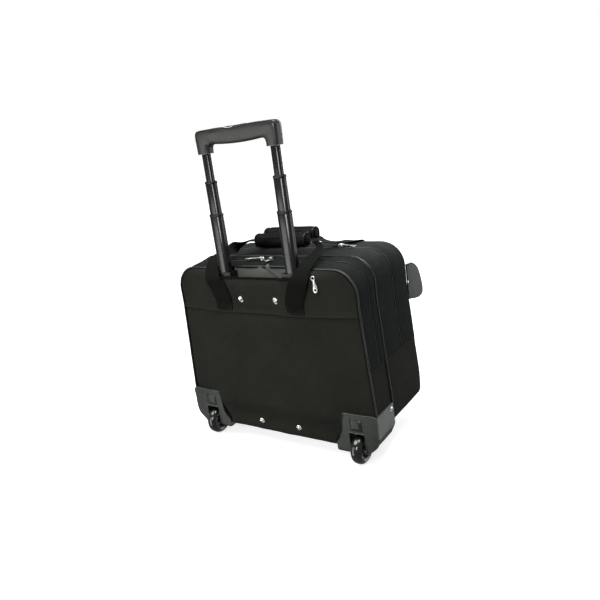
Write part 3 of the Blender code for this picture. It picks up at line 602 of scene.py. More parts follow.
def back_band():
    """The upper back: a padded band, cut away round the tubes, with a slanting crease beside one of them."""
    edge = 0.0024
    radius = CORNER - edge
    centre_z = TOP_REAR - CORNER
    notch = POLE_X + 0.0190
    corner = HIGH_HALF - CORNER

    def top_of(x):
        beyond = np.clip(np.abs(x) - corner, 0, radius)
        arch = centre_z + np.sqrt(radius**2 - beyond**2)
        return np.where(np.abs(x) < notch, BAND_TOP_Z, arch)

    wing = notch + (corner - notch) * np.linspace(0, 1, 12)[1:]
    bend = corner + radius * np.sin(np.linspace(0, np.pi / 2 * 0.985, 16)[1:])
    right = np.concatenate([np.linspace(0, notch - 0.0002, 26), [notch + 0.0002], wing, bend])
    x = np.concatenate([-right[::-1][:-1], right])
    low_z = BACK_SEAM_Z - 0.0012
    rows = []
    for share in spaced(BAND_TOP_Z - low_z, 0.005):
        z = low_z + (top_of(x) - low_z) * share
        rows.append(np.stack([x, REAR_Y - back_depth(x, z), z], axis=1))
    grid = np.array(rows)
    x, z = grid[..., 0], grid[..., 2]
    lift = dress(grid, 0.0010, 0.0004, 0.0007, 5)
    lift += 0.0014 * np.exp(-(z - low_z) / 0.004)
    crease = (x - 0.0580) - 0.30 * (z - 0.290)
    inner = ease(-crease, -0.003, 0.006) * ease(x, -0.070, -0.045) * ease(z, low_z, low_z + 0.020)
    line = np.exp(-((crease / 0.0035) ** 2))
    lift += 0.0030 * inner * (1 - ease(z, 0.325, 0.337)) - 0.0016 * line * ease(z, 0.275, 0.29)
    lift += 0.0016 * np.exp(-(((x - 0.028) / 0.012) ** 2 + ((z - 0.310) / 0.014) ** 2))
    lift -= 0.0014 * np.exp(-(((np.abs(x) - 0.0395) / 0.009) ** 2 + ((z - 0.297) / 0.009) ** 2))
    band, outer = cloth("back_band_cloth", grid, "fabric", "case", lift, 0.0022, replaces=["back_band"])
    top_line = outer[-1][np.abs(grid[-1, :, 0]) < notch]
    bound_edge("band_binding", top_line, (0, 1, 0), 0.0042, 0.0026, "case")
    return outer


def bound_edge(name, line, out, width, thickness, body, finish="binding"):
    """Woven tape folded over an edge of cloth."""
    line = smooth_path(line, 0.004)
    along = directions(line)
    out = unit(np.asarray(out, float) - along * (along @ np.asarray(out, float))[:, None])
    up = np.cross(along, out)
    cosine, sine = circle(14)
    section = (np.sign(cosine) * np.abs(cosine) ** 0.7 * thickness / 2,
               np.sign(sine) * np.abs(sine) ** 0.7 * width / 2)
    crimp = 1 + 0.06 * noise_at(line, 0.008, 2)
    loops = line[:, None] + crimp[:, None, None] * (section[0][None, :, None] * out[:, None]
                                                   + section[1][None, :, None] * up[:, None])
    return loft(name, loops, finish, body)


def pocket_lining():
    """The grey lining seen between the tubes. It folds over the top edge, wider at one side."""
    corners = box("pocket_lining")
    inner = POLE_X - 0.0150
    z = np.linspace(corners[0].z, TOP_REAR - 0.0035, 34)

    def turned_over(x, reach):
        rows = [[(i, corners[1].y, j) for i in x] for j in z]
        for share in np.linspace(0.08, 1, 12):
            turn = min(1.0, share * 3) * math.pi / 2
            rise = 0.0035 * math.sin(turn) + 0.0012 * share
            fold_y = corners[1].y - 0.002 * (1 - math.cos(turn))
            rows.append([(i, fold_y - r * max(0.0, share - 0.2), z[-1] + rise) for i, r in zip(x, reach)])
        return np.array(rows)

    x = np.linspace(-inner - 0.002, inner + 0.002, 61)
    grid = turned_over(x, 0.0035 + 0.0150 * ease(x, -inner, inner))
    across, up = grid[..., 0], grid[..., 2]
    folds = 0.0012 * np.sin(across * 95 + 1.3 + 9 * (up - 0.33)) * ease(up, 0.30, 0.345)
    slant = (across + 0.030) - 1.2 * (up - 0.338)
    folds += 0.0020 * np.exp(-((slant / 0.0035) ** 2)) - 0.0014 * np.exp(-(((slant - 0.008) / 0.004) ** 2))
    folds += 0.0008 * noise_at(grid, 0.02, 4)
    cloth("pocket_lining_cloth", grid, "lining", "case", folds, 0.0009, inside=at(0, 0.1, 0.3),
          replaces=["pocket_lining"])
    for label, sign in (("left", -1), ("right", 1)):
        x = sign * np.linspace(inner + 0.0026, corners[1].x, 12)
        grid = turned_over(x, np.full(12, 0.002))
        cloth(f"pocket_side_{label}", grid, "binding", "case", 0.0, 0.0009, inside=at(0, 0.1, 0.3))


# ---- Walls ----
def walls():
    """The gussets over the top and down the sides, and the lower walls. Returns lines for the stitching."""
    seam = PIPING + 0.0004
    ring_x = upper_ring(TOP_REAR)[:, 0]
    on_top = upper_ring(TOP_REAR)[:, 1] > TOP_REAR - 0.001
    rear_start = np.where(on_top, slot_depth(ring_x), 0.0) + seam
    lines = []
    runs = (("rear_gusset", rear_start, LAPTOP_ZIP_DEPTH - ZIP_HALF, 11),
            ("laptop_gusset", LAPTOP_ZIP_DEPTH + ZIP_HALF, PIPING_DEPTH - seam, 12),
            ("main_gusset", PIPING_DEPTH + seam, FRONT_ZIP_DEPTH - ZIP_HALF, 13))
    for node, start, end, seed in runs:
        grid = wall(upper_at, start, end)
        lift = dress(grid, 0.0010, 0.0005, 0.0007, seed)
        outer = cloth(f"{node}_cloth", grid, "gusset", "case", lift, replaces=[node])[1]
        lines += [outer[:, 4], outer[:, -5]] if node != "rear_gusset" else [outer[:, -5]]

    def rear_low(depth):
        return lower_ring(REAR_FLOOR_Z, reduce=0.0014)

    grid = wall(rear_low, seam, PIPING_DEPTH - seam)
    lift = dress(grid, 0.0006, 0.0003, 0.0005, 14) * ease(grid[..., 2], REAR_FLOOR_Z + 0.02, 0.10)
    lift += 0.0010 * np.exp(-(SEAM_Z - grid[..., 2]) / 0.003)
    outer = cloth("rear_lower_cloth", grid, "fabric", "case", lift, replaces=["rear_lower_gusset"])[1]
    return lines, [seam_line(outer, 0.0035, side) for side in (0, -1)]


def seam_line(outer, distance, side):
    """The line of a lower wall's points that lies distance below the side seam."""
    reach = run(outer, 0) if side == 0 else run(outer[::-1], 0)
    row = int(np.argmin(np.abs(reach[:, 0] - distance)))
    return (outer if side == 0 else outer[::-1])[row]


def rounded_front(ring_of, start, tuck):
    """Grid of a wall that rounds over onto the front face and ends tuck inside its edge."""
    radius = 0.013
    straight = start + (FRONT_DEPTH - radius - start) * spaced(FRONT_DEPTH - radius - start)[:-4]
    angles = np.linspace(0, np.pi / 2, 8)
    profile = [(depth, 0.0) for depth in straight]
    profile += [(FRONT_DEPTH - radius + radius * np.sin(a), radius * (1 - np.cos(a))) for a in angles]
    profile.append((FRONT_DEPTH, radius + tuck))
    columns = []
    for depth, inset in profile:
        ring = ring_of(inset)
        columns.append(np.stack([ring[:, 0], np.full(len(ring), REAR_Y - depth), ring[:, 1]], axis=1))
    return np.stack(columns, axis=1)


def front_shells():
    """The lid and the tub below it: each a wall that rounds over, and a face sewn on at its edge."""
    lid_start = FRONT_ZIP_DEPTH + ZIP_HALF
    front_y = REAR_Y - FRONT_DEPTH

    def lid_ring(inset):
        return upper_ring(TOP_MIDDLE - 0.0010, inset)

    def tub_ring(inset):
        return lower_ring(FLOOR_Z, inset)

    lid_wall = rounded_front(lid_ring, lid_start, 0.006)
    lift = dress(lid_wall, 0.0010, 0.0005, 0.0008, 21)
    outer = cloth("lid_wall_cloth", lid_wall, "gusset", "lid", lift, replaces=["front_lid"])[1]
    stitched = [outer[:, 4]]
    tub_wall = rounded_front(tub_ring, PIPING_DEPTH + PIPING + 0.0004, 0.006)
    lift = dress(tub_wall, 0.0007, 0.0003, 0.0007, 22)
    lift += 0.0010 * np.exp(-(SEAM_Z - tub_wall[..., 2]) / 0.003)
    outer = cloth("tub_wall_cloth", tub_wall, "fabric", "case", lift, replaces=["front_tub"])[1]
    low_lines = [seam_line(outer, 0.0035, side) for side in (0, -1)]
    inset = 0.0125
    x = (HIGH_HALF - inset) * np.sin(np.linspace(-np.pi / 2, np.pi / 2, 61))
    corner, radius = HIGH_HALF - CORNER, CORNER - inset
    arch = TOP_MIDDLE - 0.0010 - CORNER + np.sqrt(radius**2 - np.clip(np.abs(x) - corner, 0, radius) ** 2)
    rows = []
    for share in spaced(0.17, 0.006):
        z = SEAM_Z + (arch - SEAM_Z) * share
        half = side_x(z) - inset
        rows.append(np.stack([x * half / (HIGH_HALF - inset), np.full(len(x), front_y), z], axis=1))
    grid = np.array(rows)
    lift = 0.0008 + dress(grid, 0.0006, 0.0005, 0.0006, 23, ends=True)
    outer = cloth("lid_face_cloth", grid, "fabric", "lid", lift, 0.0014)[1]
    lid_edge = np.concatenate([outer[:, 4], outer[-5, 5:-5], outer[::-1, -5]])
    rows = []
    for share in spaced(SEAM_Z - FLOOR_Z - inset, 0.006):
        z = FLOOR_Z + inset + (SEAM_Z - FLOOR_Z - inset) * share
        radius = BOTTOM_CORNER - inset
        drop = np.clip(FLOOR_Z + BOTTOM_CORNER - z, 0, radius)
        half = side_x(z) - inset - (radius - np.sqrt(radius**2 - drop**2))
        shares = 2 * spaced(0.4, 0.007) - 1
        rows.append(np.stack([shares * half, np.full(len(shares), front_y), np.full(len(shares), z)], axis=1))
    grid = np.array(rows)
    lift = 0.0008 + dress(grid, 0.0006, 0.0005, 0.0006, 24, ends=True)
    cloth("tub_face_cloth", grid, "fabric", "case", lift, 0.0014)
    return stitched, low_lines, lid_edge


def side_stays():
    """Pleated cloth at each side of the lid's fold, folded away at rest."""
    depths = np.linspace(FRONT_ZIP_DEPTH + 0.004, FRONT_DEPTH - 0.004, 14)
    for side, sign in (("left", -1), ("right", 1)):
        rows = []
        for i in range(25):
            fold = abs((i / 24 * 4) % 2 - 1)
            x = side_x(SEAM_Z) - 0.0032 - 0.0075 * (1 - fold)
            rows.append([at(sign * x, depth, SEAM_Z - 0.0012 + 0.0024 * i / 24) for depth in depths])
        stay = cloth(f"side_stay_{side}", np.array(rows), "lining", None, 0.0, 0.0005)[0]
        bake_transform(stay)


def divider():
    """The padded wall between the laptop compartment and the main one."""
    corners = box("divider")
    arch = upper_ring(TOP_MIDDLE, 0.0036)
    base = lower_ring(REAR_FLOOR_Z, 0.0036, 0.0018)
    outline = np.concatenate([arch, base[::-1][1:-1]])
    centre = np.array((0.0, 0.21))
    loops = []
    for y, share in ((corners[1].y, 0.02), (corners[1].y, 0.9), (corners[1].y, 1.0), (corners[0].y, 1.0),
                     (corners[0].y, 0.9), (corners[0].y, 0.02)):
        ring = centre + (outline - centre) * share
        loops.append(np.stack([ring[:, 0], np.full(len(ring), y), ring[:, 1]], axis=1))
    loft("divider_cloth", loops, "lining", "case", replaces=["divider"])


# ---- Piping ----
def piping():
    """Corded piping down both sides and over the top, round the handle's slot on the rear one."""
    for node, depth, top in (("rear_piping", 0.0, TOP_REAR), ("middle_piping", PIPING_DEPTH, TOP_MIDDLE)):
        ring = upper_ring(top)
        foot = np.linspace(low(node).z - 0.004, SEAM_Z, 20)[:-1]
        start = np.stack([-side_x(foot), foot], axis=1)
        path = np.concatenate([start, ring, (start * (-1, 1))[::-1]])
        deep = np.full(len(path), depth)
        if node == "rear_piping":
            on_top = path[:, 1] > top - 0.001
            deep = np.where(on_top, slot_depth(path[:, 0]), 0.0)
        points = np.stack([path[:, 0], REAR_Y - deep, path[:, 1]], axis=1)
        points += 0.0003 * np.stack([noise_at(points, 0.02, 31 + i) for i in range(3)], axis=1)
        loft(f"{node}_cord", swept(points, PIPING * 0.88, (0, 1, 0)), "piping", "case", replaces=[node])
        flange = points - (0, PIPING * 0.9, 0)
        loft(f"{node}_flange", swept(flange, 0.0013, (0, 1, 0), 8), "binding", "case")
        if node == "rear_piping":
            inward = points - unit((points - INSIDE) * (1, 0, 1)) * 0.0024
            bound_edge("rear_piping_tape", inward, (0, 1, 0), 0.0034, 0.0042, "case")
        else:
            inward = points - unit((points - INSIDE) * (1, 0, 1)) * 0.0020
            bound_edge("middle_piping_tape", inward, (0, 1, 0), 0.0012, 0.0090, "case")


# ---- Zips ----
def zip_run(name, depth, inset, halves):
    """A coil zip round the outline: tapes at both sides, and teeth that alternate between the halves."""
    ring = upper_at(depth, inset)
    path = np.stack([ring[:, 0], np.full(len(ring), REAR_Y - depth), ring[:, 1]], axis=1)
    out = unit(np.cross(directions(path), (0.0, 1.0, 0.0)))
    out *= np.sign((out * (path - INSIDE)).sum())
    cosine, sine = circle(8)
    pitch = 0.0017
    tooth = ((-0.0007, 0.30), (-0.0004, 0.80), (0.0004, 1.0), (0.0017, 0.85), (0.0021, 0.35))
    for label, sign, body, replaced in halves:
        across = sign * np.array((0.00035, 0.0011, 0.0020, 0.0030, 0.0040))
        grid = path[:, None] + across[None, :, None] * np.array((0, -1.0, 0))
        grid = grid - out[:, None] * 0.0009
        cloth(f"{name}_tape_{label}", grid, "tape", body, 0.0, 0.0006, lining=None)
        points, faces = [], []
        for centre, along in zip(*resample(path, pitch)):
            index = np.argmin(((path - centre) ** 2).sum(axis=1))
            lift = out[index]
            shift = 0.0 if sign > 0 else pitch / 2
            base = len(points)
            for reach, size in tooth:
                middle_point = centre + along * shift + np.array((0, -sign * reach, 0)) - lift * 0.0002
                points.extend(middle_point + size * (c * along * 0.00052 + s * lift * 0.00062)
                              for c, s in zip(cosine, sine))
            faces.extend(tuple(base + i for i in face) for face in ring_faces(5, 8))
        add_piece(f"{name}_teeth_{label}", points, faces, "coil", body, replaces=replaced,
                  uvs=np.zeros((len(points), 2)))


def zips():
    laptop_halves = (("rear", -1, "case", ["laptop_zip"]), ("front", 1, "case", ()))
    zip_run("laptop_zip", LAPTOP_ZIP_DEPTH, 0.0, laptop_halves)
    front_halves = (("case", -1, "case", ["front_zip"]), ("lid", 1, "lid", ()))
    zip_run("front_zip", FRONT_ZIP_DEPTH, 0.0, front_halves)


# ---- Zip sliders and pulls ----
def plate(centre, along, across, up, length, width, thickness, nose=0.75):
    """Loops of a slider's shield-shaped plate, with rounded rims."""
    cosine, sine = circle(20)
    half = width / 2 * (1 - (1 - nose) * (cosine > 0) * cosine)
    loops = []
    for lift, size in ((-0.5, 0.86), (-0.3, 1.0), (0.3, 1.0), (0.5, 0.86)):
        loops.append([centre + up * thickness * lift + size * (c * length / 2 * along + s * h * across)
                      for c, s, h in zip(cosine, sine, half)])
    return np.array(loops)


def slider(node, along):
    """A zip slider: two plates and the arched bridge that carries its pull."""
    corners = box(node)
    along = np.asarray(along, float)
    across, up = np.array((0, 1.0, 0)), np.array((0, 0, 1.0))
    width = corners[1].y - corners[0].y
    base = np.array((corners[0] + corners[1]) / 2)
    base[2] = corners[0].z
    body_plate = plate(base + up * 0.0007, along, across, up, 0.0115, width * 1.1, 0.0014)
    loft(f"{node}_body", body_plate, "nickel", node, replaces=[node])
    loft(f"{node}_top", plate(base + up * 0.0028, along, across, up, 0.0105, width, 0.0014), "nickel", node)
    angles = np.linspace(0, np.pi, 12)
    arch = [base + up * (0.0028 + 0.0034 * math.sin(a)) + along * 0.0036 * math.cos(a) for a in angles]
    loft(f"{node}_bridge", swept(arch, 0.0011, across, 10), "nickel", node)


def pull(node, shape, thickness=0.0016, ring=0.0034):
    """A cast tab with a hole at its end, hung from an eye. shape is (share of length, half-width) pairs."""
    start, axis = joint_point(node)
    points = np.array([v.co for v in frame["nodes"][node].data.vertices]) - (0, 0, LIFT)
    far = points[np.argsort(-np.linalg.norm(points - start, axis=1))[:4]].mean(axis=0)
    length = float(np.linalg.norm(far - start))
    along = (far - start) / length
    across = unit(axis - along * (axis @ along))
    up = np.cross(along, across)
    widths = np.array(shape)
    tip = widths[-1, 1]
    hole = length - tip
    places = np.linspace((ring * 1.3) / length, 1, 24)
    halves = np.interp(places, widths[:, 0], widths[:, 1])
    end = np.linspace(np.pi / 2, -np.pi / 2, 13)[1:-1]
    outline = [(p * hole, h) for p, h in zip(places, halves)]
    outline += [(hole + tip * math.cos(a), tip * math.sin(a)) for a in end]
    outline += [(p * hole, -h) for p, h in zip(places[::-1], halves[::-1])]
    outline = np.array(outline)
    bearing = np.arctan2(outline[:, 1], outline[:, 0] - hole)
    inner = np.stack([hole + tip * 0.5 * np.cos(bearing), tip * 0.5 * np.sin(bearing)], axis=1)

    def raised(flat, height):
        return [start + a * along + b * across + height * up for a, b in flat]

    centre = outline.mean(axis=0)
    slim = centre + (outline - centre) * 0.94
    loops = [raised(slim, thickness / 2), raised(outline, thickness * 0.3), raised(outline, -thickness * 0.3),
             raised(slim, -thickness / 2), raised(inner, -thickness / 2), raised(inner, thickness / 2)]
    loft(f"{node}_tab", loops, "nickel", node, ring=True, replaces=[node])
    cosine, sine = circle(24)
    loops = []
    for c, s in zip(cosine, sine):
        out = c * along + s * across
        point = start + along * (ring * 0.55) + ring * out
        loops.append([point + 0.0010 * (a * out + b * up) for a, b in zip(*circle(8))])
    loft(f"{node}_eye", loops, "nickel", node, ring=True)


def sliders_and_pulls():
    """Three sliders, and four pulls: narrow cast tabs on two, and broad ones on the others."""
    slider("laptop_slider_right", (1, 0, 0))
    slider("laptop_slider_left", (-1, 0, 0))
    slider("front_slider", (-1, 0, 0))
    long_tab = ((0.0, 0.0016), (0.6, 0.0020), (0.8, 0.0034), (1.0, 0.0036))
    broad_tab = ((0.0, 0.0018), (0.35, 0.0026), (0.75, 0.0048), (1.0, 0.0052))
    pull("laptop_pull_right", long_tab)
    pull("laptop_pull_left", broad_tab)
    pull("front_pull", long_tab)
    pull("pole_pocket_pull", broad_tab)


# ---- Carry handles ----
# Rows of a route: x, depth, height, half-width and turn in radians, from a leg's sewn base to its roll.
REAR_ROUTE = ((0.0810, -0.0124, BACK_SEAM_Z + 0.0015, 0.0195, 0.0), (0.0810, -0.0128, 0.2860, 0.0195, 0.0),
              (0.0820, -0.0135, 0.2990, 0.0195, 0.0), (0.0890, -0.0138, 0.3180, 0.0195, 0.0),
              (0.0990, -0.0140, 0.3380, 0.0175, 0.0), (0.1065, 0.0005, 0.3585, 0.0142, 0.05),
              (0.1085, 0.0240, 0.3690, 0.0148, 0.30), (0.1010, 0.0510, 0.3760, 0.0125, 0.75),
              (0.0860, 0.0730, 0.3820, 0.0100, 1.20), (0.0730, 0.0840, 0.3860, 0.0095, 1.571),
              (0.0560, 0.0880, 0.3860, 0.0095, 1.571))
FRONT_ROUTE = ((0.0980, 0.2022, 0.2550, 0.0195, 0.0), (0.0980, 0.2024, 0.2800, 0.0195, 0.0),
               (0.0980, 0.2026, 0.3000, 0.0195, 0.0), (0.0980, 0.2032, 0.3350, 0.0195, 0.0),
               (0.0980, 0.2020, 0.3540, 0.0190, 0.0), (0.0975, 0.1940, 0.3620, 0.0185, 0.0),
               (0.0940, 0.1740, 0.3645, 0.0175, 0.12), (0.0860, 0.1530, 0.3670, 0.0160, 0.42),
               (0.0740, 0.1350, 0.3725, 0.0140, 0.95), (0.0660, 0.1250, 0.3790, 0.0125, 1.38),
               (0.0540, 0.1205, 0.3850, 0.0115, 1.571))


def strap(name, route, sign, node):
    """One leg of a carry handle's webbing, sewn flat at its base and narrow where it enters the roll."""
    thickness = 0.0020
    knots = [(sign * x, REAR_Y - depth, z, half, turn) for x, depth, z, half, turn in route]
    path = smooth_path(knots, 0.004)
    centres, halves, turns = path[:, :3], path[:, 3], path[:, 4]
    across = np.stack([np.cos(turns), sign * np.sin(turns), np.zeros(len(path))], axis=1)
    along = directions(centres)
    across = unit(across - along * (across * along).sum(axis=1)[:, None])
    up = np.cross(along, across)
    shares = np.array((-1, -0.97, -0.88, -0.6, -0.3, 0, 0.3, 0.6, 0.88, 0.97, 1))
    rise = thickness / 2 * np.sqrt(1 - np.abs(shares) ** 10 * 0.96)
    section = [*zip(shares, rise), *zip(shares[::-1], -rise[::-1])]
    cup = 0.0016 * ease(np.arange(len(path)) / len(path), 0.15, 0.5)
    loops = []
    for centre, half, side, lift, bow in zip(centres, halves, across, up, cup):
        loops.append([centre + side * half * s + lift * (r - bow * (1 - s * s) * sign) for s, r in section])
    loops = np.array(loops)
    loops += 0.0004 * noise_at(centres, 0.03, 41)[:, None, None]
    made = loft(f"{name}_strap_{'left' if sign < 0 else 'right'}", loops, "webbing", None,
                replaces=[node] if sign > 0 else ())
    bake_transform(made)
    return loops


def strap_stitching(name, route, sign, body, out):
    """A stitched box with a cross in it, on the strap's sewn base."""
    x, depth, z = sign * route[0][0], route[0][1], route[0][2]
    reach = 0.0215
    half = 0.0170
    lift = 0.0011 * out
    square = ((-1, 0), (1, 0), (1, 1), (-1, 1))
    corners = [at(x + i * half, depth - lift, z + 0.0025 + j * reach) for i, j in square]
    lines = [np.linspace(a, b, 12) for a, b in zip(corners, corners[1:] + corners[:1])]
    lines += [np.linspace(corners[0], corners[2], 16), np.linspace(corners[1], corners[3], 16)]
    stitches(f"{name}_box_stitch_{'left' if sign < 0 else 'right'}", lines, body)


def inflate(piece, voxel, cap, pressure=4.0, frames=20):
    """Lets a pad's cloth swell over its filling. Each point moves by no more than cap."""
    scene = bpy.context.scene
    remesh = piece.modifiers.new("even_mesh", "REMESH")
    remesh.mode = "VOXEL"
    remesh.voxel_size = voxel
    remesh.use_smooth_shade = True
    even = bpy.data.meshes.new_from_object(piece.evaluated_get(bpy.context.evaluated_depsgraph_get()))
    piece.modifiers.clear()
    even.materials.clear()
    for material in piece.data.materials:
        even.materials.append(material)
    piece.data = even
    start = np.array([v.co for v in even.vertices])
    swell = piece.modifiers.new("swell", "CLOTH")
    swell.settings.use_pressure = True
    swell.settings.uniform_pressure_force = pressure
    swell.settings.effector_weights.gravity = 0
    swell.settings.tension_stiffness = swell.settings.compression_stiffness = 12
    swell.collision_settings.use_collision = False
    for number in range(1, frames + 1):
        scene.frame_set(number)
    moved = piece.evaluated_get(bpy.context.evaluated_depsgraph_get()).data
    shift = np.array([v.co for v in moved.vertices]) - start
    reach = np.linalg.norm(shift, axis=1, keepdims=True)
    shift *= np.minimum(1, cap / (reach + 1e-9))
    piece.modifiers.clear()
    scene.frame_set(1)
    even.vertices.foreach_set("co", (start + shift).astype(np.float32).ravel())
    even.update()
    even.shade_smooth()
    finer = piece.modifiers.new("finer", "SUBSURF")
    finer.levels = finer.render_levels = 1


def roll(node, body, seed):
    """The padded roll round both straps: foam under cloth, closed along its underside, bound at its ends."""
    corners = box(node)
    centre = (corners[0] + corners[1]) / 2
    radius = (corners[1].z - corners[0].z) / 2
    half = (corners[1].x - corners[0].x) / 2 * 0.93
    stations = np.concatenate([[-1, -0.985, -0.95], np.linspace(-0.90, 0.90, 27), [0.95, 0.985, 1]])
    cosine, sine = circle(40, 0.5)
    flat = np.sign(cosine) * np.abs(cosine) ** 0.85, np.sign(sine) * np.abs(sine) ** 0.85
    loops = []
    for share in stations:
        size = (1 - 0.30 * np.abs(share) ** 12) * (0.955 + 0.02 * math.cos(share * 2.5))
        loops.append([(centre.x + share * half, centre.y + radius * size * c, centre.z + radius * size * s)
                      for c, s in zip(*flat)])
    loops = np.array(loops)
    out = unit((loops - np.array(centre)) * (0, 1, 1))
    wrinkle = 0.0008 * noise_at(loops * (0.6, 1, 1), 0.012, seed) + 0.0005 * noise_at(loops, 0.03, seed + 1)
    ends = 1 + 1.2 * np.exp(-(1 - np.abs(stations)) / 0.06)
    loops = loops + out * (wrinkle * ends[:, None])[..., None]
    wrap = loft(f"{node}_pad", loops, "padding", body, replaces=[node])
    inflate(wrap, 0.004, 0.0012)
    for side in (-1, 1):
        place = len(stations) - 5 if side > 0 else 4
        ring = loops[place] + out[place] * 0.0014
        bound = np.concatenate([ring, ring[:1]])
        label = "left" if side < 0 else "right"
        stitches(f"{node}_end_stitch_{label}", [bound], body)
        end_ring = loops[2 if side < 0 else -3] + out[0] * 0.0006
        closed = np.concatenate([end_ring, end_ring[:2]])
        loft(f"{node}_end_binding_{label}", swept(closed, 0.0013, (1, 0, 0), 8), "black_plastic", body)
    under = loops[3:-3, 29] + out[3:-3, 29] * 0.0010
    bound_edge(f"{node}_closure", under, (0, 0, -1), 0.0060, 0.0012, body)


def carry_handles():
    handles = (("rear_handle", REAR_ROUTE, "case", 1), ("front_handle", FRONT_ROUTE, "lid", -1))
    for name, route, parent, out in handles:
        for sign in (-1, 1):
            strap(name, route, sign, f"{name}_strap")
            strap_stitching(name, route, sign, parent, out)
        roll(f"{name}_wrap", name, 51 if name == "rear_handle" else 57)


# ---- Telescopic handle ----
def oval(size, x, z, count=64, groove=0.0):
    """A rounded oval loop on a tube's axis, with a shallow groove down each end."""
    cosine, sine = circle(count, 0.5)
    spread = (np.abs(cosine) ** 3 + np.abs(sine) ** 3) ** (-1 / 3)
    dent = 1 - groove * np.exp(-((sine / 0.18) ** 2))
    return [at(x + size[0] / 2 * s * c * d, POLE_DEPTH + size[1] / 2 * s * n, z)
            for s, c, n, d in zip(spread, cosine, sine, dent)]


def tube(node, body, wall_size=0.001, groove=0.05, finish="tube"):
    """A hollow oval tube, grooved at both ends of its section, with a small lip at each mouth."""
    corners = box(node)
    size = section_of(node)
    inner = (size[0] - 2 * wall_size, size[1] - 2 * wall_size)
    x = (corners[0].x + corners[1].x) / 2
    lip = 0.0004
    slim = (size[0] - lip, size[1] - lip)
    base, top = corners[0].z, corners[1].z
    loops = [oval(slim, x, base, groove=groove), oval(size, x, base + lip, groove=groove),
             oval(size, x, top - lip, groove=groove), oval(slim, x, top, groove=groove),
             oval(inner, x, top, groove=groove), oval(inner, x, base, groove=groove)]
    loft(f"{node}_skin", loops, finish, body, ring=True, replaces=[node], smooth=30)


def collar(node, body, following):
    """The guide collar at a tube's mouth: a rounded ring with a step down to the next tube."""
    corners = box(node)
    size = section_of(node)
    x = (corners[0].x + corners[1].x) / 2
    gap = 0.0003
    inner = (following[0] + 2 * gap, following[1] + 2 * gap)
    steps = ((0.0, -0.0002), (0.0005, 0.0002), (0.0026, 0.0002), (0.0034, -0.0002), (0.0036, -0.0012),
             (0.0045, -0.0020))
    loops = [oval((size[0] + grow, size[1] + grow), x, corners[0].z + rise) for rise, grow in steps]
    loops += [oval(inner, x, corners[1].z), oval(inner, x, corners[0].z)]
    loft(f"{node}_ring", loops, "black_plastic", body, ring=True, replaces=[node], smooth=30)


def telescopic_handle():
    for side in ("left", "right"):
        tube(f"lower_tube_{side}", "lower_stage")
        tube(f"middle_tube_{side}", "middle_stage")
        tube(f"upper_tube_{side}", "upper_stage")
        collar(f"lower_collar_{side}", "lower_stage", section_of(f"middle_tube_{side}"))
        collar(f"middle_collar_{side}", "middle_stage", section_of(f"upper_tube_{side}"))
    grip()


def grip():
    """The U-shaped grip, swept from leg to leg, with a black cord near both of its outer edges as painted
    shade where its faces turn.
    """
    corners = box("grip")
    base, half = corners[0].z, corners[1].x
    centre_y, deep = (corners[0].y + corners[1].y) / 2, (corners[1].y - corners[0].y) / 2
    right = ((half - 0.0008, 0.0, half - 0.0262, 0.0), (half - 0.0004, 0.0120, half - 0.0264, 0.0060),
             (half - 0.0002, 0.0240, half - 0.0275, 0.0105), (half - 0.0006, 0.0335, half - 0.0300, 0.0133),
             (half - 0.0028, 0.0386, half - 0.0345, 0.0144), (half - 0.0085, 0.0407, half - 0.0430, 0.0142),
             (0.0600, 0.0412, 0.0370, 0.0134), (0.0400, 0.0415, 0.0260, 0.0127),
             (0.0260, 0.0410, 0.0130, 0.0122))
    left = [(-a, b, -c, d) for a, b, c, d in right[::-1]]
    path = smooth_path([*right, (0.0, 0.0402, 0.0, 0.0120), *left], 0.003)
    outer = np.stack([path[:, 0], np.full(len(path), centre_y), base + path[:, 1]], axis=1)
    inner = np.stack([path[:, 2], np.full(len(path), centre_y), base + path[:, 3]], axis=1)
    cosine, sine = circle(56, 0.5)
    rise = np.sign(cosine) * np.abs(cosine) ** 0.45
    wide = np.sign(sine) * np.abs(sine) ** 0.50
    middle_line, reach = (outer + inner) / 2, (outer - inner) / 2
    loops = middle_line[:, None] + reach[:, None] * rise[None, :, None]
    waist = 1 - 0.10 * np.exp(-((path[:, 0] / 0.05) ** 2))
    loops[..., 1] += deep * wide[None, :] * (1 - 0.16 * (rise < 0) * rise**2)[None, :] * waist[:, None]
    loft("grip_shell", loops, "grip", "upper_stage", replaces=["grip"], smooth=40)
    # Black cords near the outer edge of both faces: painted shade for the dark line where each face turns to
    # the grip's end.
    inward = unit(inner - outer)
    for label, side in (("front", -1), ("rear", 1)):
        line = outer + inward * 0.0024
        line[:, 1] += side * (deep * waist - 0.0010)
        loft(f"grip_edge_shade_{label}", swept(line, 0.0007, (0, 1, 0), 8), "black_plastic", "upper_stage")


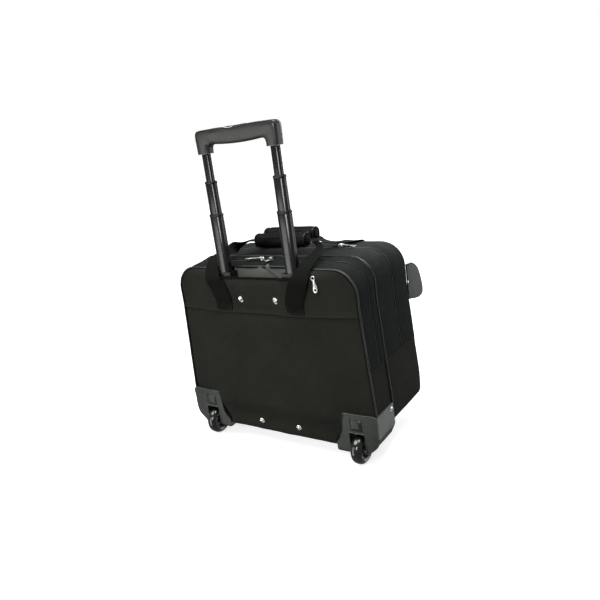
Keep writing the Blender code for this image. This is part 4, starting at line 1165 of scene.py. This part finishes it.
def release_button():
    """The push button in the grip's top, dished for a thumb, and a nickel lip in front of it, a painted
    highlight for the light caught on the recess's edge.
    """
    corners = box("release_button")
    half, reach = corners[1].x, (corners[1].y - corners[0].y) / 2
    centre_y = (corners[0].y + corners[1].y) / 2
    grip_top = box("grip")[0].z + 0.0402
    cosine, sine = circle(20, 0.5)
    loops = []
    for share in (-1, -0.985, -0.94, *np.linspace(-0.85, 0.85, 15), 0.94, 0.985, 1):
        top = grip_top + 0.0018 - 0.0008 * (1 - share**2) - 0.0014 * np.abs(share) ** 24
        size = reach * (1 - 0.25 * np.abs(share) ** 20)
        centre_z, rise = grip_top - 0.0012, top - grip_top + 0.0012
        loops.append([(share * half, centre_y + size * np.sign(c) * abs(c) ** 0.4,
                       centre_z + rise * np.sign(s) * abs(s) ** 0.4) for c, s in zip(cosine, sine)])
    loft("release_button_cap", loops, "black_plastic", "release_button", replaces=["release_button"])
    # The nickel lip is a painted highlight along the button recess's edge.
    bow = np.linspace(-1, 1, 15)
    lip = [(0.010 + 0.011 * b, centre_y + reach + 0.0012, grip_top + 0.0006 - 0.0022 * (1 - b * b))
           for b in bow]
    loft("grip_button_highlight_lip", swept(lip, 0.0006 + 0.0005 * (1 - bow**2), (0, 1, 0), 8), "nickel", "upper_stage")


# ---- Wheels, screws and moulded parts ----
def turned(name, profile, centre, finish, body, replaces=(), spokes=None):
    """Turns a profile of (radius, offset, share of the dent) about the X line through centre.

    spokes gives the depth of the dent in its sides at an angle.
    """
    loops = []
    for angle in 2 * np.pi * np.arange(96) / 96:
        out = np.array((0, math.cos(angle), math.sin(angle)))
        dent = spokes(angle) if spokes else 0.0
        loops.append([centre + radius * out + np.array((offset - math.copysign(dent * share, offset), 0, 0))
                      for radius, offset, share in profile])
    return loft(name, loops, finish, body, ring=True, replaces=replaces, smooth=38)


def wheels():
    """Each wheel: a glossy rounded tread on a hub with five dished bays."""
    for side in ("left", "right"):
        tyre, hub = box(f"wheel_tyre_{side}"), box(f"wheel_hub_{side}")
        centre = np.array((tyre[0] + tyre[1]) / 2)
        radius, half = (tyre[1].z - tyre[0].z) / 2, (tyre[1].x - tyre[0].x) / 2
        bore = (hub[1].z - hub[0].z) / 2 + 0.0002
        shares = np.linspace(-1, 1, 17)
        tread = [(bore, -half * 0.86, 0)]
        tread += [(bore + (radius - bore) * (0.42 + 0.58 * (1 - abs(s) ** 3.0)), half * s, 0) for s in shares]
        tread += [(bore, half * 0.86, 0)]
        turned(f"wheel_tyre_{side}_tread", tread, centre, "tyre", f"wheel_{side}", [f"wheel_tyre_{side}"])
        face = half * 0.82
        rim = bore - 0.0003
        steps = ((0.0034, 0.80, 0), (0.0060, 0.84, 0), (0.0068, 0.74, 0.2), (0.0085, 0.62, 1),
                 (rim - 0.0045, 0.62, 1), (rim - 0.0028, 0.72, 0.2), (rim - 0.0020, 0.96, 0), (rim, 0.94, 0))
        profile = [(r, -face * s, d) for r, s, d in steps] + [(r, face * s, d) for r, s, d in steps[::-1]]

        def bays(angle):
            return 0.0028 * float(ease(math.cos(5 * angle), -0.35, 0.15))

        turned(f"wheel_hub_{side}_spokes", profile, centre, "plastic", f"wheel_{side}",
               [f"wheel_hub_{side}"], bays)


def screw_head(name, place, out, radius, body, replaces=(), turn=0.6):
    """A domed nickel screw head on its washer, with a slot across it."""
    out = unit(np.asarray(out, float))
    side = unit(np.cross(out, (0.0, 0.13, 1.0)))
    up = np.cross(out, side)
    cosine, sine = circle(32)
    washer = [(1.30, 0.0), (1.30, 0.0005), (1.22, 0.0008), (0.98, 0.0009)]
    dome = [(1.0, 0.0009), (0.97, 0.0016), (0.86, 0.0024), (0.66, 0.0030), (0.42, 0.0034),
            (0.20, 0.0036), (0.05, 0.0037)]
    loops = []
    for size, height in [*washer, *dome]:
        ring = []
        for c, s in zip(cosine, sine):
            across = (-c * math.sin(turn) + s * math.cos(turn)) * size
            slot = 0.0013 * float(1 - ease(abs(across), 0.10, 0.17)) if height > 0.0009 else 0.0
            ring.append(place + radius * size * (c * side + s * up) + out * (height - slot))
        loops.append(ring)
    loft(name, loops, "nickel", body, replaces=replaces, smooth=34)


def screws(panel, band):
    """The handle's four screws, set on the cloth that lies over them, and one in each housing's side."""
    for side, sign in (("left", -1), ("right", 1)):
        for row, cloth_points, radius in (("top", band, 0.0048), ("bottom", panel, 0.0042)):
            node = f"{row}_screw_{side}"
            centre = middle(node)
            place = surface_near(cloth_points, centre.x, centre.z) - np.array((0, 0.0004, 0))
            place[[0, 2]] = centre.x, centre.z
            screw_head(f"{node}_head", place, (0, 1, 0), radius, "case", [node], 0.6 if sign < 0 else 2.3)
        housing = box(f"wheel_housing_{side}")
        side_x_out = max(abs(housing[0].x), abs(housing[1].x)) - 0.0012
        place = np.array((sign * side_x_out, REAR_Y - 0.0545, 0.0815))
        screw_head(f"housing_screw_{side}", place, (sign, 0, 0), 0.0036, "case", (), 1.1)


def housing_rims():
    """Lighter beads round each wheel housing's back, painted highlights for the light its edges catch, and
    the raised hood over its wheel.
    """
    for side, sign in (("left", -1), ("right", 1)):
        corners = box(f"wheel_housing_{side}")
        face = REAR_Y - corners[1].y
        top, reach = corners[1].z, max(abs(corners[0].x), abs(corners[1].x))
        tyre = box(f"wheel_tyre_{side}")
        gap_low, gap_high = sorted((abs(tyre[0].x), abs(tyre[1].x)))
        gap_low, gap_high, gap_top = gap_low - 0.0045, gap_high + 0.0045, 0.0540
        outer = ((reach - 0.069, top - 0.0005), (reach - 0.030, top - 0.0004), (reach - 0.0022, top - 0.0006),
                 (reach - 0.0004, top - 0.022), (reach - 0.0004, 0.0480), (reach - 0.0028, 0.0370),
                 (reach - 0.0095, 0.0285), (reach - 0.0185, 0.0205), (reach - 0.0235, 0.0140))
        inner = ((reach - 0.0690, top - 0.0020), (reach - 0.0715, 0.0630), (reach - 0.0755, 0.0430),
                 (reach - 0.0868, 0.0292))
        arch = ((gap_low, 0.0170), (gap_low, 0.0350), (gap_low, gap_top - 0.0005),
                (gap_low + 0.0010, gap_top), (gap_high - 0.0010, gap_top), (gap_high, gap_top - 0.0005),
                (gap_high, 0.0350), (gap_high, 0.0170))
        # The beads take the lighter rim plastic: painted highlights along the housing's edges and round the
        # wheel's gap.
        beads = (("outer", outer, 0.0009), ("inner", inner, 0.0008), ("arch", arch, 0.0009))
        for label, line, radius in beads:
            points = smooth_path([at(sign * x, face + 0.0002, z) for x, z in line], 0.002)
            loft(f"housing_rim_highlight_{label}_{side}", swept(points, radius, (0, 1, 0), 8), "rim", "case")
        rows = []
        for v in spaced(0.026, 0.003):
            z = gap_top + 0.0020 + 0.026 * v
            half = (gap_high - gap_low) / 2 - 0.0010 - 0.0030 * float(ease(v, 0.6, 1.0))
            rows.append([at(sign * ((gap_low + gap_high) / 2 + half * (2 * u - 1)), face + 0.0006, z)
                         for u in spaced(0.028, 0.003)])
        grid = np.array(rows)
        along, across = run(grid, 0), run(grid, 1)
        near = np.minimum(np.minimum(along, along[-1:] - along), np.minimum(across, across[:, -1:] - across))
        lift = 0.0030 * ease(near, 0, 0.0060) - 0.0004
        cloth(f"housing_hood_{side}", grid, "plastic", "case", lift, 0.0010)


def hard_parts():
    """Finishes and softened edges for the CAD parts that show as they are."""
    finishes = {"wheel_housing": "plastic", "foot": "plastic", "tube_base": "black_plastic",
                "frame_sheet": "black_plastic", "base_board": "black_plastic", "pole_bridge": "black_plastic",
                "outer_tube": "aluminium", "axle": "aluminium"}
    bevels = {"wheel_housing": 0.0020, "foot": 0.0015, "pole_bridge": 0.0012, "tube_base": 0.0010}
    for name, obj in frame["nodes"].items():
        if obj.hide_render:
            continue
        kind = next(key for key in finishes if name.startswith(key))
        obj.data.materials.clear()
        obj.data.materials.append(MATERIALS[finishes[kind]])
        if kind in bevels:
            bevel = obj.modifiers.new("soft_edges", "BEVEL")
            bevel.width = bevels[kind]
            bevel.segments = 3
            bevel.limit_method = "ANGLE"
            bevel.angle_limit = math.radians(32)


# ---- Flap and pockets ----
def flap():
    """The phone pocket's open flap: grey lining inside, black cloth outside, and binding round its edge."""
    hinge = joint_point("phone_flap")[0]
    points = np.array([v.co for v in frame["nodes"]["phone_flap"].data.vertices]) - (0, 0, LIFT)
    far = points[np.argmax(np.linalg.norm(points[:, :2] - hinge[:2], axis=1))]
    reach = float(np.linalg.norm(far[:2] - hinge[:2]))
    along = unit(np.array((far[0] - hinge[0], far[1] - hinge[1], 0.0)))
    inside = np.array((along[1], -along[0], 0.0))
    inside *= np.sign(inside[1])
    base, top = points[:, 2].min() - 0.0065, points[:, 2].max() - 0.0080
    reach *= 0.88
    edge = smooth_path([(0.0, base + 0.0010, 0), (reach * 0.35, base + 0.0004, 0),
                        (reach * 0.70, base + 0.0012, 0), (reach * 0.93, base + 0.0075, 0),
                        (reach * 0.975, base + 0.0200, 0), (reach * 0.88, base + 0.0420, 0),
                        (reach * 0.72, base + 0.0600, 0), (reach * 0.52, top - 0.0050, 0),
                        (reach * 0.28, top - 0.0012, 0), (0.0, top - 0.0008, 0)], 0.003)
    middle_z = (base + top) / 2
    rows = []
    for share in (1.0, 0.97, 0.85, 0.65, 0.45, 0.25, 0.08):
        rows.append([hinge + along * (r * share)
                     + np.array((0, 0, middle_z - hinge[2] + (z - middle_z) * share)) for r, z, _ in edge])
    grid = np.array(rows)
    grid += inside * 0.0005 * noise_at(grid, 0.02, 61)[..., None]
    # The lining face takes the lighter copy of the grey lining: painted light for the flap's shaded face.
    cloth("flap_panel", grid, "fabric", "phone_flap", 0.0, 0.0022, lining="flap_lining_painted_lighter",
          inside=hinge + inside * 0.05, replaces=["phone_flap"])
    inward = unit(grid[2] - grid[0])
    line = grid[0] + inward * 0.0034
    cosine, sine = circle(16)
    loops = []
    for point, side in zip(line, inward):
        full = float(ease(float(np.dot(point - hinge, along)), 0.0020, 0.0110))
        centre = point + along * 0.0022 * (1 - full) + inside * (0.0016 * (1 - full) - 0.0008 * full)
        wide, thick = 0.0016 + 0.0034 * full, 0.0006 + 0.0016 * full
        loops.append([centre + side * wide * np.sign(c) * abs(c) ** 0.6
                      + inside * thick * np.sign(s) * abs(s) ** 0.7 for c, s in zip(cosine, sine)])
    loft("flap_binding", loops, "binding", "phone_flap")
    strip = [hinge + np.array((0, 0, z - hinge[2])) for z in np.linspace(base + 0.002, top - 0.002, 20)]
    loft("flap_hinge_tape", swept(strip, 0.0013, (1, 0, 0), 8), "binding", "phone_flap")
    wall_line = [(hinge[0] + 0.0012, (hinge[1] + REAR_Y - FRONT_DEPTH) / 2 + 0.0013, z)
                 for z in np.linspace(base + 0.002, high("phone_pocket").z - 0.004, 20)]
    bound_edge("phone_pocket_side", wall_line, (-1, 0, 0), 0.0128, 0.0020, "lid")


def pocket(node, name, top_zip, seed, soft=0.006):
    """A flat pocket on the lid's face, full to within soft of its edges.

    top_zip is how far up its zip runs, as a share of its height, and 0 leaves the zip out.
    """
    corners = box(node)
    x0, x1, z0, z1 = corners[0].x, corners[1].x, corners[0].z, corners[1].z
    back, front = corners[1].y, corners[0].y
    across, up = spaced(x1 - x0, 0.005), spaced(z1 - z0, 0.005)
    rows = []
    for v in up:
        row = []
        for u in across:
            edge = min(min(u, 1 - u) * (x1 - x0), min(v, 1 - v) * (z1 - z0))
            full = float(ease(edge, 0.0, soft))
            row.append((x0 + (x1 - x0) * u, back + (front - back) * full, z0 + (z1 - z0) * v))
        rows.append(row)
    grid = np.array(rows)
    lift = dress(grid, 0.0010, 0.0004, 0.0008, seed, ends=True)
    outer = cloth(f"{name}_cloth", grid, "fabric", "lid", lift, 0.0012, replaces=[node])[1]
    ring = np.concatenate([outer[0], outer[1:, -1], outer[-1, ::-1][1:], outer[::-1, 0][1:]])
    loft(f"{name}_binding", swept(smooth_path(ring[::3], 0.004), 0.0012, (0, 1, 0), 8), "binding", "lid")
    if top_zip:
        line = outer[int(len(up) * top_zip), 6:-6] + (0, -0.0004, 0)
        bound_edge(f"{name}_zip_tape", line, (0, -1, 0), 0.0110, 0.0014, "lid", "tape")
        bound_edge(f"{name}_zip_coil", line + (0, -0.0008, 0), (0, -1, 0), 0.0034, 0.0014, "lid", "coil")


def pockets():
    pocket("front_pocket", "front_pocket", 0.86, 71)
    pocket("phone_pocket", "phone_pocket", 0.0, 75, 0.0012)


# ---- Studio and camera ----
def light(name, size, place, target, power, colour=(1, 1, 1)):
    """A rectangular area light at place that faces target."""
    data = bpy.data.lights.new(name, "AREA")
    data.shape = "RECTANGLE"
    data.size, data.size_y = size
    data.energy = power
    data.color = colour
    obj = bpy.data.objects.new(name, data)
    obj.location = place
    obj.rotation_euler = (Vector(target) - Vector(place)).to_track_quat("-Z", "Y").to_euler()
    bpy.context.scene.collection.objects.link(obj)
    return obj


def studio():
    """White backdrop and floor, a soft top light, a key behind the case, two strips, a fill and a sun."""
    scene = bpy.context.scene
    scene.view_settings.view_transform = "Standard"
    world = bpy.data.worlds.new("studio")
    world.use_nodes = True
    tree = world.node_tree
    seen = tree.nodes["Background"]
    seen.inputs["Color"].default_value = (1, 1, 1, 1)
    seen.inputs["Strength"].default_value = 1.0
    fill = tree.nodes.new("ShaderNodeBackground")
    fill.inputs["Color"].default_value = (0.96, 1.0, 0.97, 1)
    fill.inputs["Strength"].default_value = 0.22
    path = tree.nodes.new("ShaderNodeLightPath")
    mix = tree.nodes.new("ShaderNodeMixShader")
    tree.links.new(path.outputs["Is Camera Ray"], mix.inputs[0])
    tree.links.new(fill.outputs[0], mix.inputs[1])
    tree.links.new(seen.outputs[0], mix.inputs[2])
    tree.links.new(mix.outputs[0], tree.nodes["World Output"].inputs[0])
    scene.world = world
    bpy.ops.mesh.primitive_plane_add(size=60, location=(0, 0, 0))
    floor = bpy.context.object
    floor.name = "studio_floor"
    floor.visible_glossy = False
    floor.visible_diffuse = False
    paint = Finish("pale_floor", (0.90, 0.91, 0.91), 0.7, Specular_IOR_Level=0.0, Emission_Strength=0.70,
                   Emission_Color=(1, 1, 1, 1))
    rough = paint.spread(paint.noise(paint.solid(), 3.0, 2.0), 0.3, 0.7, 0.65, 0.75)
    floor.data.materials.append(paint.paint(None, rough))
    light("overhead", (1.4, 1.4), (-0.4, 0.1, 2.3), (0, 0, 0.2), 42)
    light("key", (0.8, 0.8), (-0.1, 2.5, 1.2), (0, 0, 0.25), 20)
    light("tube_strip", (0.60, 1.70), (0.95, 1.45, -0.05), (0, 0.1, 0.15), 8.0)
    light("side_strip", (1.0, 2.0), (-1.20, -1.20, 0.05), (-0.2, 0, 0.15), 8, (0.94, 0.98, 1))
    light("front_fill", (1.2, 1.2), (0.3, -2.6, 1.1), (0, 0, 0.2), 26)
    data = bpy.data.lights.new("soft_sun", "SUN")
    data.energy = 1.1
    data.angle = math.radians(28)
    sun = bpy.data.objects.new("soft_sun", data)
    sun.rotation_euler = Vector((-0.55, -0.45, -1.0)).to_track_quat("-Z", "Y").to_euler()
    scene.collection.objects.link(sun)


def camera():
    """The view from behind and to one side, with a small roll."""
    eye, target = lifted(at(-0.659, -0.806, 0.573)), lifted(at(-0.014, 0.100, 0.263))
    turn = math.radians(-7.773)
    ahead = (target - eye).normalized()
    right = ahead.cross(Vector((0, 0, 1))).normalized()
    up = right.cross(ahead)
    rolled_right = right * math.cos(turn) + up * math.sin(turn)
    rolled_up = up * math.cos(turn) - right * math.sin(turn)
    data = bpy.data.cameras.new("camera")
    data.lens = 35.25
    data.sensor_width = 36
    obj = bpy.data.objects.new("camera", data)
    columns = (rolled_right, rolled_up, -ahead)
    obj.matrix_world = Matrix.Translation(eye) @ Matrix(columns).transposed().to_4x4()
    bpy.context.scene.collection.objects.link(obj)
    bpy.context.scene.camera = obj


# ---- Run ----
back_outer = back_panel()
band_outer = back_band()
pocket_lining()
zip_lines, low_lines = walls()
lid_lines, more_low_lines, lid_edge = front_shells()
side_stays()
divider()
piping()
zips()
stitches("zip_topstitch", zip_lines, "case")
stitches("lid_topstitch", [*lid_lines, lid_edge], "lid")
stitches("side_seam_stitch", [*low_lines, *more_low_lines], "case")
stitches("back_seam_stitch", [band_outer[5]], "case")
sliders_and_pulls()
carry_handles()
telescopic_handle()
release_button()
pockets()
flap()
wheels()
housing_rims()
screws(back_outer, band_outer)
hard_parts()
studio()
camera()
